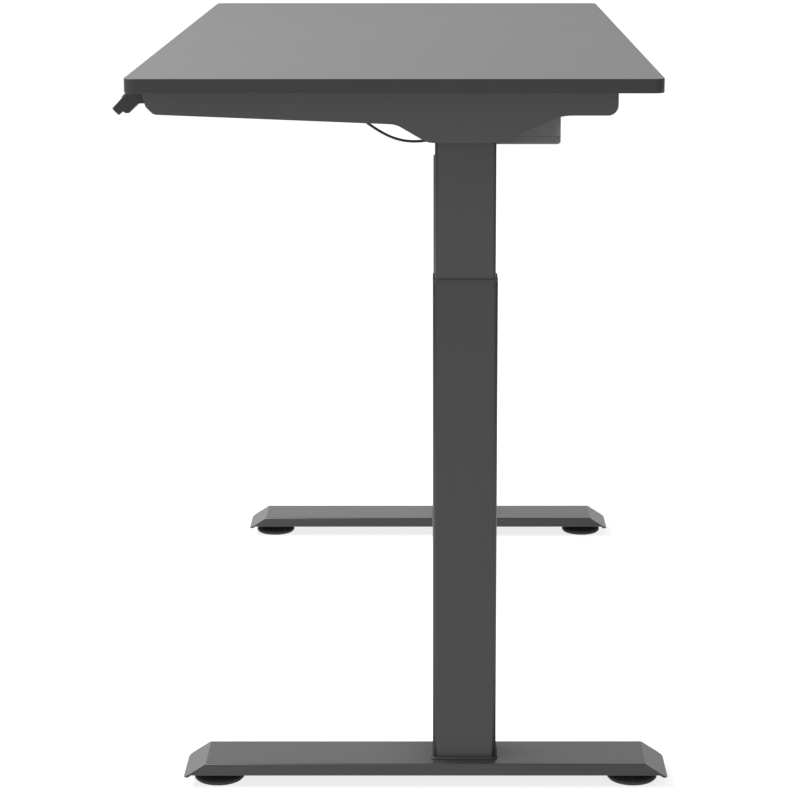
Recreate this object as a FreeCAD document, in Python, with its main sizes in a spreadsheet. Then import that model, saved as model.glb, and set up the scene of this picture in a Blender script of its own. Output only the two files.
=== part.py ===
"""Height adjustable standing desk: two telescopic legs, screw driven, under one desktop.

Millimetres. +X runs along the desktop, the user sits on the -Y side, +Z is up and the floor is z = 0.
The origin is on the floor under the middle of the desk's outline. A leg's own x and y are counted
from the middle of its column.
"""

import FreeCAD, Part
import math
import os
import re

import Sketcher

# ---------------------------------------------------------------- driving sizes

SIZES = [
    ("desk_length", 1200),
    ("desk_depth", 600),
    ("desk_thick", 16),
    ("desk_corner", 12),
    ("band_thick", 1.2),
    ("leg_inset", 76.5),
    ("column_back", 80),
    ("closed_gap", 41),
    ("rest_lift", 117),
    # feet
    ("foot_front", 334),
    ("foot_rear", 242),
    ("foot_width", 75),
    ("foot_top", 31),
    ("foot_sheet", 2.5),
    ("foot_slope_run", 27),
    ("foot_tip_drop", 17.5),
    ("foot_flange", 14.5),
    ("foot_corner", 6),
    ("glide_inset", 40),
    ("glide_radius", 30),
    ("glide_rim", 7),
    ("stud_radius", 4),
    ("nut_height", 9),
    # columns
    ("outer_depth", 75),
    ("outer_width", 45),
    ("tube_wall", 1.5),
    ("liner_room", 1),
    ("neck_length", 5),
    ("shoe_room", 16),
    ("outer_round", 5),
    ("inner_round", 4),
    ("outer_top", 613),
    ("collar_lip", 3),
    ("collar_sleeve", 50),
    ("slide_gap", 0.3),
    ("base_plate", 5),
    # screw drive
    ("screw_radius", 7),
    ("screw_tip", 8),
    ("tip_room", 4),
    ("screw_gap", 0.05),
    ("nut_drop", 42),
    ("nut_length", 40),
    ("nut_flange", 6),
    ("push_tube_radius", 15),
    ("push_tube_wall", 2),
    ("push_floor", 4),
    ("bearing_radius", 15),
    ("bearing_height", 10),
    ("gearbox_room", 3.5),
    ("motor_radius", 23),
    ("motor_length", 96),
    ("motor_offset", 12),
    # brackets under the desktop
    ("bracket_front_inset", 14),
    ("bracket_rear_inset", 48),
    ("bracket_width", 60),
    ("bracket_sheet", 2.5),
    ("bracket_deep", 61),
    ("bracket_deep_half", 43),
    ("bracket_front_mid", 40),
    ("bracket_front_end", 29),
    ("bracket_rear_depth", 30),
    ("bracket_front_rise", 36),
    ("bracket_rear_rise", 67),
    # leg heads
    ("head_recess", 4),
    ("head_half", 44),
    ("head_sheet", 3),
    ("head_tab", 18),
    ("head_gap", 0.5),
    # rails between the brackets
    ("rail_offset", 60),
    ("rail_width", 20),
    ("rail_height", 32),
    ("rail_wall", 1.5),
    ("rail_drop", 5),
    ("rail_gap", 0.2),
    ("rail_overlap", 240),
    ("rail_flange", 44),
    # control box
    ("box_room", 10.5),
    ("box_length", 260),
    ("box_width", 80),
    ("box_lid", 9.5),
    ("box_tub", 27.5),
    ("box_wall", 2),
    ("box_side_gap", 32),
    ("box_ear", 18),
    ("board_sink", 2),
    # handset
    ("handset_room", 8.5),
    ("handset_length", 120),
    ("handset_face", 41),
    ("handset_tilt", 47),
    ("handset_cover", 2.5),
    ("handset_wall", 2),
    ("handset_back", 57),
    ("handset_drop", 23),
    ("button_gap", 0.3),
    ("button_proud", 1.2),
    # fasteners
    ("bolt_radius", 3),
    ("wood_screw_radius", 2),
    ("wood_screw_bite", 11),
    ("screw_room", 0.3),
    # cables
    ("handset_cable_radius", 1.6),
    ("motor_cable_radius", 2.2),
]

doc = FreeCAD.newDocument("StandingDesk")
sheet = doc.addObject("Spreadsheet::Sheet", "Sizes")
for row, (alias, size) in enumerate(SIZES, start=1):
    sheet.set("A%d" % row, alias)
    sheet.set("B%d" % row, str(size))
    sheet.setAlias("B%d" % row, alias)
doc.recompute()

# Sizes that follow from the ones above. Any of them can stand in an expression by its name.
FOLLOWING = {
    "desk_height": "outer_top + closed_gap + rest_lift + bracket_deep + desk_thick",
    "leg_spacing": "desk_length - 2 * leg_inset",
    "inner_depth": "outer_depth - 2 * tube_wall - 2 * liner_room",
    "inner_width": "outer_width - 2 * tube_wall - 2 * liner_room",
    "inner_top": "desk_height - desk_thick - head_drop - head_sheet - neck_length",
    "inner_bottom": "foot_top + base_plate + shoe_room + rest_lift",
    "screw_bottom": "foot_top + base_plate + push_floor + tip_room + screw_tip + rest_lift",
    "nut_top": "outer_top - nut_drop",
    "head_drop": "bracket_deep - head_sheet - head_recess",
    "gearbox_width": "bracket_width - 2 * bracket_sheet - 2 * gearbox_room",
    "bracket_front": "desk_depth / 2 + column_back - bracket_front_inset",
    "bracket_rear": "desk_depth / 2 - column_back - bracket_rear_inset",
    "bracket_side": "leg_spacing / 2 - bracket_width / 2",
    "box_middle": "bracket_side - box_room - box_ear - box_length / 2",
    "handset_middle": "bracket_side - handset_room - handset_length / 2",
}

# Heights and reaches used in many places, each an expression in brackets.
UNDERSIDE = "(desk_height - desk_thick)"
FOOT_INNER_TOP = "(foot_top - foot_sheet)"
TIP_Z = "(foot_top - foot_tip_drop)"
FLANGE_Z = "(foot_top - foot_flange)"
SLOPE = "(foot_slope_run / foot_tip_drop)"
BORE_DEPTH = "(outer_depth - 2 * tube_wall)"
BORE_WIDTH = "(outer_width - 2 * tube_wall)"
COLLAR_Z = "(outer_top - collar_lip)"
HEAD_Z = "(desk_height - desk_thick - head_drop)"
BRACKET_INNER_TOP = "(desk_height - desk_thick - bracket_sheet)"
BRACKET_INNER = "(bracket_width - 2 * bracket_sheet)"
RAIL_TOP = "(desk_height - desk_thick - rail_drop)"
RAIL_BOTTOM = "(desk_height - desk_thick - rail_drop - rail_height)"
RAIL_END = "bracket_side"
BOX_TOP = RAIL_BOTTOM
BOX_SEAM = "(desk_height - desk_thick - rail_drop - rail_height - box_tub)"
BOX_FRONT = "(column_back + box_side_gap)"

WORD = re.compile(r"[a-z]+(?:_[a-z]+)+")


def bound(text):
    """The expression with each named size pointing at its cell, or spelled out if it follows."""

    def spelled(found):
        word = found.group(0)
        return "(%s)" % bound(FOLLOWING[word]) if word in FOLLOWING else "Sizes." + word

    return WORD.sub(spelled, str(text))


def value(text):
    """What an expression of the named sizes comes to."""
    return float(sheet.evalExpression(bound(text)))


def bind(thing, **sizes):
    """Ties an object's properties to expressions; two underscores stand for a dot."""
    for name, text in sizes.items():
        thing.setExpression(name.replace("__", "."), bound(text))
    return thing


def place(thing, x=0, y=0, z=0, axis=(1, 0, 0), angle=0):
    """Ties the Placement to expressions: a turn about an axis, then a shift."""
    turn = "rotation(vector(%g; %g; %g); %s)" % (*axis, bound(angle))
    shift = "vector(%s; %s; %s)" % (bound(x), bound(y), bound(z))
    thing.setExpression("Placement", "placement(%s; %s)" % (shift, turn))
    return thing


# ---------------------------------------------------------------- sketches and features


def new_body(label):
    return doc.addObject("PartDesign::Body", label)


def new_sketch(body, plane, height):
    """A sketch on one of the body's own planes, lifted along that plane's normal."""
    support = [f for f in body.Origin.OriginFeatures if f.Role == plane + "_Plane"][0]
    sketch = body.newObject("Sketcher::SketchObject", body.Name + "_sketch")
    sketch.AttachmentSupport = [(support, "")]
    sketch.MapMode = "FlatFace"
    bind(sketch, AttachmentOffset__Base__z=height)
    return sketch


def fix_point(sketch, edge, end, x, y):
    """Holds one end of an edge at a place given by two expressions."""
    for kind, text in (("DistanceX", x), ("DistanceY", y)):
        rule = Sketcher.Constraint(kind, -1, 1, edge, end, value(text))
        number = sketch.addConstraint(rule)
        name = "%s_%d" % (kind, number)
        sketch.renameConstraint(number, name)
        bind(sketch, **{"Constraints__" + name: text})


def outline(sketch, points):
    """A closed outline of straight lines through points given as pairs of expressions."""
    places = [FreeCAD.Vector(value(x), value(y), 0) for x, y in points]
    first = sketch.GeometryCount
    count = len(points)
    for i in range(count):
        sketch.addGeometry(Part.LineSegment(places[i], places[(i + 1) % count]), False)
    for i in range(count):
        following = first + (i + 1) % count
        sketch.addConstraint(Sketcher.Constraint("Coincident", first + i, 2, following, 1))
        fix_point(sketch, first + i, 1, *points[i])


CORNERS = ((-1, -1), (1, -1), (1, 1), (-1, 1))


def fix_radius(sketch, number, radius):
    rule = sketch.addConstraint(Sketcher.Constraint("Radius", number, value(radius)))
    name = "radius_%d" % rule
    sketch.renameConstraint(rule, name)
    bind(sketch, **{"Constraints__" + name: radius})


def box_outline(sketch, width, depth, x="0", y="0"):
    """A rectangle about a middle point."""
    outline(
        sketch,
        [
            ("(%s) + %d * (%s) / 2" % (x, i, width), "(%s) + %d * (%s) / 2" % (y, j, depth))
            for i, j in CORNERS
        ],
    )


def rounded_outline(sketch, width, depth, corner, x="0", y="0"):
    """A rectangle about a middle point, with each corner an arc."""
    first = sketch.GeometryCount
    reach_x = "((%s) / 2 - (%s))" % (width, corner)
    reach_y = "((%s) / 2 - (%s))" % (depth, corner)
    for number, (i, j) in enumerate(CORNERS):
        # The corner's arc, and the straight side that follows it, anticlockwise.
        middle_x = "(%s) + %d * %s" % (x, i, reach_x)
        middle_y = "(%s) + %d * %s" % (y, j, reach_y)
        turn = number * math.pi / 2 + math.pi
        middle = FreeCAD.Vector(value(middle_x), value(middle_y), 0)
        ring = Part.Circle(middle, FreeCAD.Vector(0, 0, 1), value(corner))
        arc = sketch.addGeometry(Part.ArcOfCircle(ring, turn, turn + math.pi / 2), False)
        leave_x = "%s + (%d) * (%s)" % (middle_x, (0, 1, 0, -1)[number], corner)
        leave_y = "%s + (%d) * (%s)" % (middle_y, (-1, 0, 1, 0)[number], corner)
        next_i, next_j = CORNERS[(number + 1) % 4]
        far_x = "(%s) + %d * %s + (%d) * (%s)" % (x, next_i, reach_x, (0, 1, 0, -1)[number], corner)
        far_y = "(%s) + %d * %s + (%d) * (%s)" % (y, next_j, reach_y, (-1, 0, 1, 0)[number], corner)
        start = FreeCAD.Vector(value(leave_x), value(leave_y), 0)
        end = FreeCAD.Vector(value(far_x), value(far_y), 0)
        line = sketch.addGeometry(Part.LineSegment(start, end), False)
        fix_point(sketch, line, 1, leave_x, leave_y)
        fix_point(sketch, line, 2, far_x, far_y)
        sketch.addConstraint(Sketcher.Constraint("Coincident", arc, 2, line, 1))
        fix_radius(sketch, arc, corner)
    for number in range(4):
        line = first + 2 * number + 1
        following = first + (2 * number + 2) % 8
        sketch.addConstraint(Sketcher.Constraint("Coincident", line, 2, following, 1))


def circle(sketch, x, y, radius):
    middle = FreeCAD.Vector(value(x), value(y), 0)
    ring = Part.Circle(middle, FreeCAD.Vector(0, 0, 1), value(radius))
    number = sketch.addGeometry(ring, False)
    fix_point(sketch, number, 3, x, y)
    fix_radius(sketch, number, radius)


def pad(body, sketch, length, middle=False):
    """Adds the sketch as a solid; middle pads half of the length each way."""
    feature = body.newObject("PartDesign::Pad", body.Name + "_pad")
    feature.Profile = sketch
    feature.SideType = "Symmetric" if middle else "One side"
    bind(feature, Length=length)
    doc.recompute()
    return feature


def pocket(body, sketch, length, middle=False, up=False):
    """Cuts the sketch out; it goes down from the sketch unless up or middle is set."""
    before = body.Shape.Volume
    feature = body.newObject("PartDesign::Pocket", body.Name + "_pocket")
    feature.Profile = sketch
    feature.SideType = "Symmetric" if middle else "One side"
    feature.Reversed = up
    bind(feature, Length=length)
    doc.recompute()
    if feature.Shape.isNull() or feature.Shape.Volume > before - 1:
        raise RuntimeError("a pocket in %s cuts nothing" % body.Label)
    return feature


def edges_where(body, test):
    """Names of the edges of the body's tip whose middle and direction pass the test."""
    names = []
    for number, edge in enumerate(body.Tip.Shape.Edges, start=1):
        middle = edge.valueAt((edge.FirstParameter + edge.LastParameter) / 2)
        along = edge.tangentAt(edge.FirstParameter)
        if test(middle, along):
            names.append("Edge%d" % number)
    return names


def round_edges(body, test, radius, kind="Fillet"):
    """Rounds or chamfers the edges that pass the test."""
    names = edges_where(body, test)
    if not names:
        raise RuntimeError("no edge to round in %s" % body.Label)
    base = body.Tip
    feature = body.newObject("PartDesign::" + kind, body.Name + "_" + kind.lower())
    feature.Base = (base, names)
    bind(feature, **{"Radius" if kind == "Fillet" else "Size": radius})
    doc.recompute()
    return feature


def upright(middle, along):
    return abs(along.z) > 0.99


def near(number, text, slack=0.05):
    return abs(number - value(text)) < slack


def block(label, width, depth, low, height, corner):
    """A body that starts as an upright block with rounded corners about its own middle."""
    body = new_body(label)
    sketch = new_sketch(body, "XY", low)
    rounded_outline(sketch, width, depth, corner)
    pad(body, sketch, height)
    return body


def hollow(body, width, depth, top, height, corner):
    """Cuts an upright hole with rounded corners down from a height."""
    sketch = new_sketch(body, "XY", top)
    rounded_outline(sketch, width, depth, corner)
    pocket(body, sketch, height)
    return body


# ---------------------------------------------------------------- primitives

TURNS = {"x": ((0, 1, 0), 90), "-x": ((0, 1, 0), -90), "y": ((1, 0, 0), -90), "z": ((1, 0, 0), 0)}


def rod(label, x, y, z, radius, length, along="z"):
    """A cylinder that starts at a point and runs along an axis."""
    made = bind(doc.addObject("Part::Cylinder", label), Radius=radius, Height=length)
    axis, angle = TURNS[along]
    return place(made, x, y, z, axis, angle)


def slab(label, x, y, z, dx, dy, dz):
    """A box by its lowest corner and its three sides."""
    made = bind(doc.addObject("Part::Box", label), Length=dx, Width=dy, Height=dz)
    return place(made, x, y, z)


def fuse(label, *solids):
    made = doc.addObject("Part::MultiFuse", label)
    made.Shapes = list(solids)
    return made


def cut(label, base, *tools):
    tool = tools[0] if len(tools) == 1 else fuse(label + "_tool", *tools)
    made = doc.addObject("Part::Cut", label)
    made.Base = base
    made.Tool = tool
    return made


def group(label, solids):
    """Identical pieces that share a node, each a solid of its own."""
    made = doc.addObject("Part::Compound", label)
    made.Links = solids
    return made


def bolt(label, x, y, z, shank, length, head, head_height, along="z"):
    """A pan head with a hexagon socket, seat at the point, shank along the axis."""
    back = {"z": (0, 0, -1), "x": (-1, 0, 0), "-x": (1, 0, 0)}[along]
    start = ["%s + %d * (%s)" % (p, d, head_height) for p, d in zip((x, y, z), back)]
    cap = rod(label + "_cap", *start, head, head_height, along)
    stem = rod(label + "_stem", x, y, z, shank, length, along)
    socket = bind(
        doc.addObject("Part::Prism", label + "_socket"),
        Circumradius="0.5 * (%s)" % head,
        Height="0.6 * (%s)" % head_height,
    )
    axis, angle = TURNS[along]
    place(socket, *start, axis, angle)
    return cut(label, fuse(label + "_solid", cap, stem), socket)


NODES = []


def keep(made, x=None, y=0, z=0):
    """Registers a finished sub-part, and shifts it if a place is given."""
    if x is not None:
        place(made, x, y, z)
    NODES.append(made)
    return made


SIDES = {"left": -1, "right": 1}


def leg_x(side):
    return "(%d * leg_spacing / 2)" % side


# ---------------------------------------------------------------- desktop

PILOTS_Y = (
    "column_back - bracket_front + 40",
    "column_back - bracket_front + 180",
    "column_back + bracket_rear - 24",
)
HANDSET_SCREW_X = "handset_length / 2 - 22"
HANDSET_SCREW_Y = "handset_back - 14 - desk_depth / 2"


def wood_screw_places():
    """Where screws go up into the desktop, with the height of each seat."""
    seats = []
    for side in SIDES.values():
        for y in PILOTS_Y:
            for across in (-15, 15):
                seats.append(("%s + %d" % (leg_x(side), across), y, BRACKET_INNER_TOP))
    for side in SIDES.values():
        x = "handset_middle + %d * (%s)" % (side, HANDSET_SCREW_X)
        seats.append((x, HANDSET_SCREW_Y, UNDERSIDE + " - 6"))
    return seats


def make_desktop():
    board = block(
        "desktop",
        "(desk_length - 2 * band_thick)",
        "(desk_depth - 2 * band_thick)",
        UNDERSIDE,
        "desk_thick",
        "(desk_corner - band_thick)",
    )
    pilots = new_sketch(board, "XY", UNDERSIDE)
    for x, y, _ in wood_screw_places():
        circle(pilots, x, y, "wood_screw_radius")
    pocket(board, pilots, "wood_screw_bite", up=True)
    keep(board)

    band = block("edge_band", "desk_length", "desk_depth", UNDERSIDE, "desk_thick", "desk_corner")
    hollow(
        band,
        "(desk_length - 2 * band_thick)",
        "(desk_depth - 2 * band_thick)",
        "desk_height",
        "desk_thick",
        "(desk_corner - band_thick)",
    )
    rim = value("desk_length / 2")
    side = value("desk_depth / 2")

    def outer_rim(middle, along):
        outside = abs(abs(middle.x) - rim) < 0.01 or abs(abs(middle.y) - side) < 0.01
        return outside and abs(along.z) < 0.01

    round_edges(band, outer_rim, "band_thick / 2")
    keep(band)


# ---------------------------------------------------------------- side brackets

# Side view of a bracket: y from the column's middle, z up, from the top front corner round.
BRACKET_LOW = "(desk_height - desk_thick - %s)"
BRACKET_FOOT = [
    ("5 - bracket_front", BRACKET_LOW % "20"),
    ("14 - bracket_front", BRACKET_LOW % "bracket_front_end"),
    ("-bracket_deep_half - bracket_front_rise", BRACKET_LOW % "bracket_front_mid"),
    ("-bracket_deep_half", BRACKET_LOW % "bracket_deep"),
    ("bracket_deep_half - 3", BRACKET_LOW % "bracket_deep"),
    ("bracket_deep_half - 3 + bracket_rear_rise", BRACKET_LOW % "bracket_rear_depth"),
    ("bracket_rear", BRACKET_LOW % "bracket_rear_depth"),
]
REAR_FLAT = "(bracket_rear - bracket_deep_half + 3 - bracket_rear_rise)"
BRACKET_ROUNDS = [
    (0, "8"),
    (1, "9"),
    (2, "26"),
    (3, "26"),
    (4, "60"),
    (5, "min(60; 2 * %s)" % REAR_FLAT),
    (6, "min(12; 0.4 * %s)" % REAR_FLAT),
]


def make_bracket(name, side):
    """An upside-down channel: a top flange, two webs and closed ends, open below."""
    body = new_body("side_bracket_" + name)
    sketch = new_sketch(body, "YZ", "0")
    top = [("bracket_rear", UNDERSIDE), ("-bracket_front", UNDERSIDE)]
    outline(sketch, BRACKET_FOOT + top)
    pad(body, sketch, "bracket_width", middle=True)
    for number, radius in BRACKET_ROUNDS:
        y, z = BRACKET_FOOT[number]

        def at_corner(middle, along, y=y, z=z):
            return abs(along.x) > 0.99 and near(middle.y, y) and near(middle.z, z)

        round_edges(body, at_corner, radius)

    channel = new_sketch(body, "YZ", "0")
    below = UNDERSIDE + " - 2 * bracket_deep"
    outline(
        channel,
        [
            ("bracket_sheet - bracket_front", BRACKET_INNER_TOP),
            ("5 + bracket_sheet - bracket_front", BRACKET_LOW % "20"),
            ("5 + bracket_sheet - bracket_front", below),
            ("bracket_rear - bracket_sheet", below),
            ("bracket_rear - bracket_sheet", BRACKET_INNER_TOP),
        ],
    )
    pocket(body, channel, BRACKET_INNER, middle=True)

    holes = new_sketch(body, "XY", UNDERSIDE)
    for y in PILOTS_Y:
        for across in (-15, 15):
            circle(holes, "%d" % across, "%s - column_back" % y, "wood_screw_radius + screw_room")
    for x, y in head_bolt_places():
        circle(holes, x, y, "bolt_radius")
    pocket(body, holes, "bracket_sheet")

    inboard = new_sketch(body, "YZ", "%d * bracket_width / 2" % -side)
    circle(inboard, "-motor_offset", MOTOR_Z, "motor_radius + 0.8")
    for y, z in rail_bolt_places():
        circle(inboard, y, z, "bolt_radius")
    pocket(body, inboard, "bracket_sheet", up=side > 0)
    keep(body, leg_x(side), "column_back")


def head_bolt_places():
    """Middles of the bolts through a leg head's tabs, from the column's middle."""
    reach = "(head_half + head_tab / 2)"
    return [("%d" % x, "%d * %s" % (y, reach)) for x in (-14, 14) for y in (-1, 1)]


RAIL_BOLT_REACH = "(rail_width / 2 + rail_flange / 2) / 2"


def rail_bolt_places():
    """Middles of the bolts through the rails' end flanges, y from the column's middle."""
    height = RAIL_TOP + " - rail_height / 2"
    return [
        ("%d * rail_offset + %d * %s" % (rail, side, RAIL_BOLT_REACH), height)
        for rail in (-1, 1)
        for side in (-1, 1)
    ]


# ---------------------------------------------------------------- leg heads, gearboxes and motors

MOTOR_Z = "(desk_height - desk_thick - bracket_sheet - motor_radius - 2)"
GEARBOX_TOP = "(desk_height - desk_thick - bracket_sheet - 1)"


def make_head(name, side):
    """A folded saddle bolted up to the bracket, with a neck that plugs into the inner tube."""
    body = new_body("leg_head_" + name)
    sketch = new_sketch(body, "YZ", "0")
    outer = "(head_half + head_tab)"
    floor = HEAD_Z + " - head_sheet"
    outline(
        sketch,
        [
            ("-head_half", floor),
            ("head_half", floor),
            ("head_half", BRACKET_INNER_TOP + " - head_sheet"),
            (outer, BRACKET_INNER_TOP + " - head_sheet"),
            (outer, BRACKET_INNER_TOP),
            ("head_half - head_sheet", BRACKET_INNER_TOP),
            ("head_half - head_sheet", HEAD_Z),
            ("head_sheet - head_half", HEAD_Z),
            ("head_sheet - head_half", BRACKET_INNER_TOP),
            ("-" + outer, BRACKET_INNER_TOP),
            ("-" + outer, BRACKET_INNER_TOP + " - head_sheet"),
            ("-head_half", BRACKET_INNER_TOP + " - head_sheet"),
        ],
    )
    pad(body, sketch, BRACKET_INNER + " - 2 * head_gap", middle=True)
    neck = new_sketch(body, "XY", "inner_top")
    box_outline(neck, "inner_width - 1", "inner_depth - 2", y="1")
    pad(body, neck, floor + " - inner_top")
    plug = new_sketch(body, "XY", "inner_top - 20")
    box_outline(
        plug,
        "inner_width - 2 * tube_wall - 2 * inner_round",
        "inner_depth - 2 * tube_wall - 2 * head_gap",
    )
    pad(body, plug, "20")
    shaft = new_sketch(body, "XY", HEAD_Z)
    circle(shaft, "0", "0", "screw_radius + 2")
    pocket(body, shaft, HEAD_Z + " - inner_top + 20")
    seat = new_sketch(body, "XY", "inner_top - 20")
    circle(seat, "0", "0", "bearing_radius")
    pocket(body, seat, "bearing_height", up=True)
    bolts = new_sketch(body, "XY", BRACKET_INNER_TOP)
    for x, y in head_bolt_places():
        circle(bolts, x, y, "bolt_radius")
    pocket(body, bolts, "head_sheet")
    keep(body, leg_x(side), "column_back")


def make_gearbox(name, side):
    """The worm gearbox housing, with the room for the screw's wheel cut out."""
    body = block(
        "gearbox_" + name,
        "gearbox_width",
        "(2 * (head_half - head_sheet - 1))",
        HEAD_Z,
        GEARBOX_TOP + " - " + HEAD_Z,
        "5",
    )
    shaft = new_sketch(body, "XY", HEAD_Z)
    circle(shaft, "0", "0", "screw_radius + 2")
    pocket(body, shaft, "30", up=True)
    wheel = new_sketch(body, "XY", HEAD_Z + " + 10")
    circle(wheel, "0", "0", "screw_radius + 13")
    pocket(body, wheel, "20", up=True)
    keep(body, leg_x(side), "column_back")


def make_motor(name, side):
    """The motor can: a flange, the can, and a stepped end cap towards the desk's middle."""
    start = "%s + %d * gearbox_width / 2" % (leg_x(side), -side)
    along = "-x" if side > 0 else "x"
    label = "motor_" + name
    middle = "(column_back - motor_offset)"
    can = rod(label + "_can", start, middle, MOTOR_Z, "motor_radius", "motor_length", along)
    cap_start = "%s + %d * motor_length" % (start, -side)
    cap = rod(label + "_cap", cap_start, middle, MOTOR_Z, "motor_radius - 3", "5", along)
    boss_start = "%s + %d * 5" % (cap_start, -side)
    boss = rod(label + "_boss", boss_start, middle, MOTOR_Z, "7", "3", along)
    keep(fuse(label, can, cap, boss))


# ---------------------------------------------------------------- columns


def make_inner_tube(name, side):
    body = block(
        "inner_tube_" + name,
        "inner_width",
        "inner_depth",
        "inner_bottom",
        "(inner_top - inner_bottom)",
        "inner_round",
    )
    hollow(
        body,
        "(inner_width - 2 * tube_wall)",
        "(inner_depth - 2 * tube_wall)",
        "inner_top",
        "(inner_top - inner_bottom)",
        "(inner_round - tube_wall)",
    )
    keep(body, leg_x(side), "column_back")


def make_outer_tube(name, side):
    """The lower tube, with a plate welded inside its foot for the bolts and the push tube."""
    body = block(
        "outer_tube_" + name,
        "outer_width",
        "outer_depth",
        "foot_top",
        COLLAR_Z + " - foot_top",
        "outer_round",
    )
    hollow(
        body,
        BORE_WIDTH,
        BORE_DEPTH,
        COLLAR_Z,
        COLLAR_Z + " - foot_top - base_plate",
        "(outer_round - tube_wall)",
    )
    holes = new_sketch(body, "XY", "foot_top")
    for x, y in foot_bolt_places():
        circle(holes, x, y, "bolt_radius")
    pocket(body, holes, "base_plate", up=True)
    keep(body, leg_x(side), "column_back")


def foot_bolt_places():
    return [("%d * (%s / 2 - 9)" % (x, BORE_WIDTH), "%d * (%s / 2 - 10)" % (y, BORE_DEPTH))
            for x in (-1, 1) for y in (-1, 1)]


def make_collar(name, side):
    """The plastic liner between the tubes, with a lip that caps the outer tube's top edge."""
    body = block(
        "guide_collar_" + name,
        BORE_WIDTH,
        BORE_DEPTH,
        COLLAR_Z + " - collar_sleeve",
        "collar_sleeve",
        "(outer_round - tube_wall)",
    )
    lip = new_sketch(body, "XY", COLLAR_Z)
    rounded_outline(lip, "outer_width", "outer_depth", "outer_round")
    pad(body, lip, "collar_lip")
    hollow(
        body,
        "(inner_width + 2 * slide_gap)",
        "(inner_depth + 2 * slide_gap)",
        "outer_top",
        "(collar_sleeve + collar_lip)",
        "(inner_round + slide_gap)",
    )

    half = value("outer_width / 2 - tube_wall / 2")
    end = value("outer_depth / 2 - tube_wall / 2")

    def lip_top(middle, along):
        outside = abs(middle.x) > half or abs(middle.y) > end
        return near(middle.z, "outer_top") and outside

    round_edges(body, lip_top, "0.8")
    keep(body, leg_x(side), "column_back")


def make_shoe(name, side):
    """The plastic shoe on the inner tube's lower end: a plug with a wider runner below."""
    body = block(
        "guide_shoe_" + name,
        BORE_WIDTH + " - 2 * slide_gap",
        BORE_DEPTH + " - 2 * slide_gap",
        "inner_bottom - 8",
        "8",
        "(outer_round - tube_wall)",
    )
    plug = new_sketch(body, "XY", "inner_bottom")
    box_outline(
        plug,
        "(inner_width - 2 * tube_wall - 2 * (inner_round - tube_wall))",
        "(inner_depth - 2 * tube_wall)",
    )
    pad(body, plug, "22")
    hollow(
        body,
        "(2 * push_tube_radius + 1)",
        "(inner_depth - 2 * tube_wall - 8)",
        "inner_bottom + 22",
        "30",
        "2",
    )
    place(body, leg_x(side), "column_back", 0)
    return body


# ---------------------------------------------------------------- screw drive


def make_screw(name, side):
    """The lifting screw with its worm wheel, as one turning piece with a turned-down tip."""
    label = "lift_screw_" + name
    x = leg_x(side)
    top = HEAD_Z + " + 28"
    stem = rod(label + "_stem", x, "column_back", "screw_bottom", "screw_radius",
               top + " - screw_bottom")
    tip = rod(label + "_tip", x, "column_back", "screw_bottom - screw_tip", "screw_radius - 2",
              "screw_tip")
    wheel = rod(label + "_wheel", x, "column_back", HEAD_Z + " + 12", "screw_radius + 11", "14")
    keep(fuse(label, stem, tip, wheel))


def make_nut(name, side):
    """The flanged nut on top of the push tube."""
    x = leg_x(side)
    label = "screw_nut_" + name
    sleeve = rod(label + "_sleeve", x, "column_back", "nut_top - nut_length",
                 "push_tube_radius - push_tube_wall", "nut_length")
    flange = rod(label + "_flange", x, "column_back", "nut_top - nut_flange", "push_tube_radius",
                 "nut_flange")
    bore = rod(label + "_bore", x, "column_back", "nut_top - nut_length - 1",
               "screw_radius + screw_gap", "nut_length + 2")
    keep(cut(label, fuse(label + "_solid", sleeve, flange), bore))


def make_push_tube(name, side):
    """The round tube that carries the nut, standing on the plate in the outer tube."""
    x = leg_x(side)
    label = "push_tube_" + name
    low = "foot_top + base_plate"
    tube = rod(label + "_tube", x, "column_back", low, "push_tube_radius",
               "nut_top - nut_flange - foot_top - base_plate")
    bore = rod(label + "_bore", x, "column_back", low + " + push_floor",
               "push_tube_radius - push_tube_wall", "nut_top")
    keep(cut(label, tube, bore))


def make_bearing(name, side):
    x = leg_x(side)
    label = "screw_bearing_" + name
    ring = rod(label + "_ring", x, "column_back", "inner_top - 20", "bearing_radius",
               "bearing_height")
    bore = rod(label + "_bore", x, "column_back", "inner_top - 21",
               "screw_radius + screw_gap", "bearing_height + 2")
    return cut(label, ring, bore)


# ---------------------------------------------------------------- feet and glides


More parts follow.
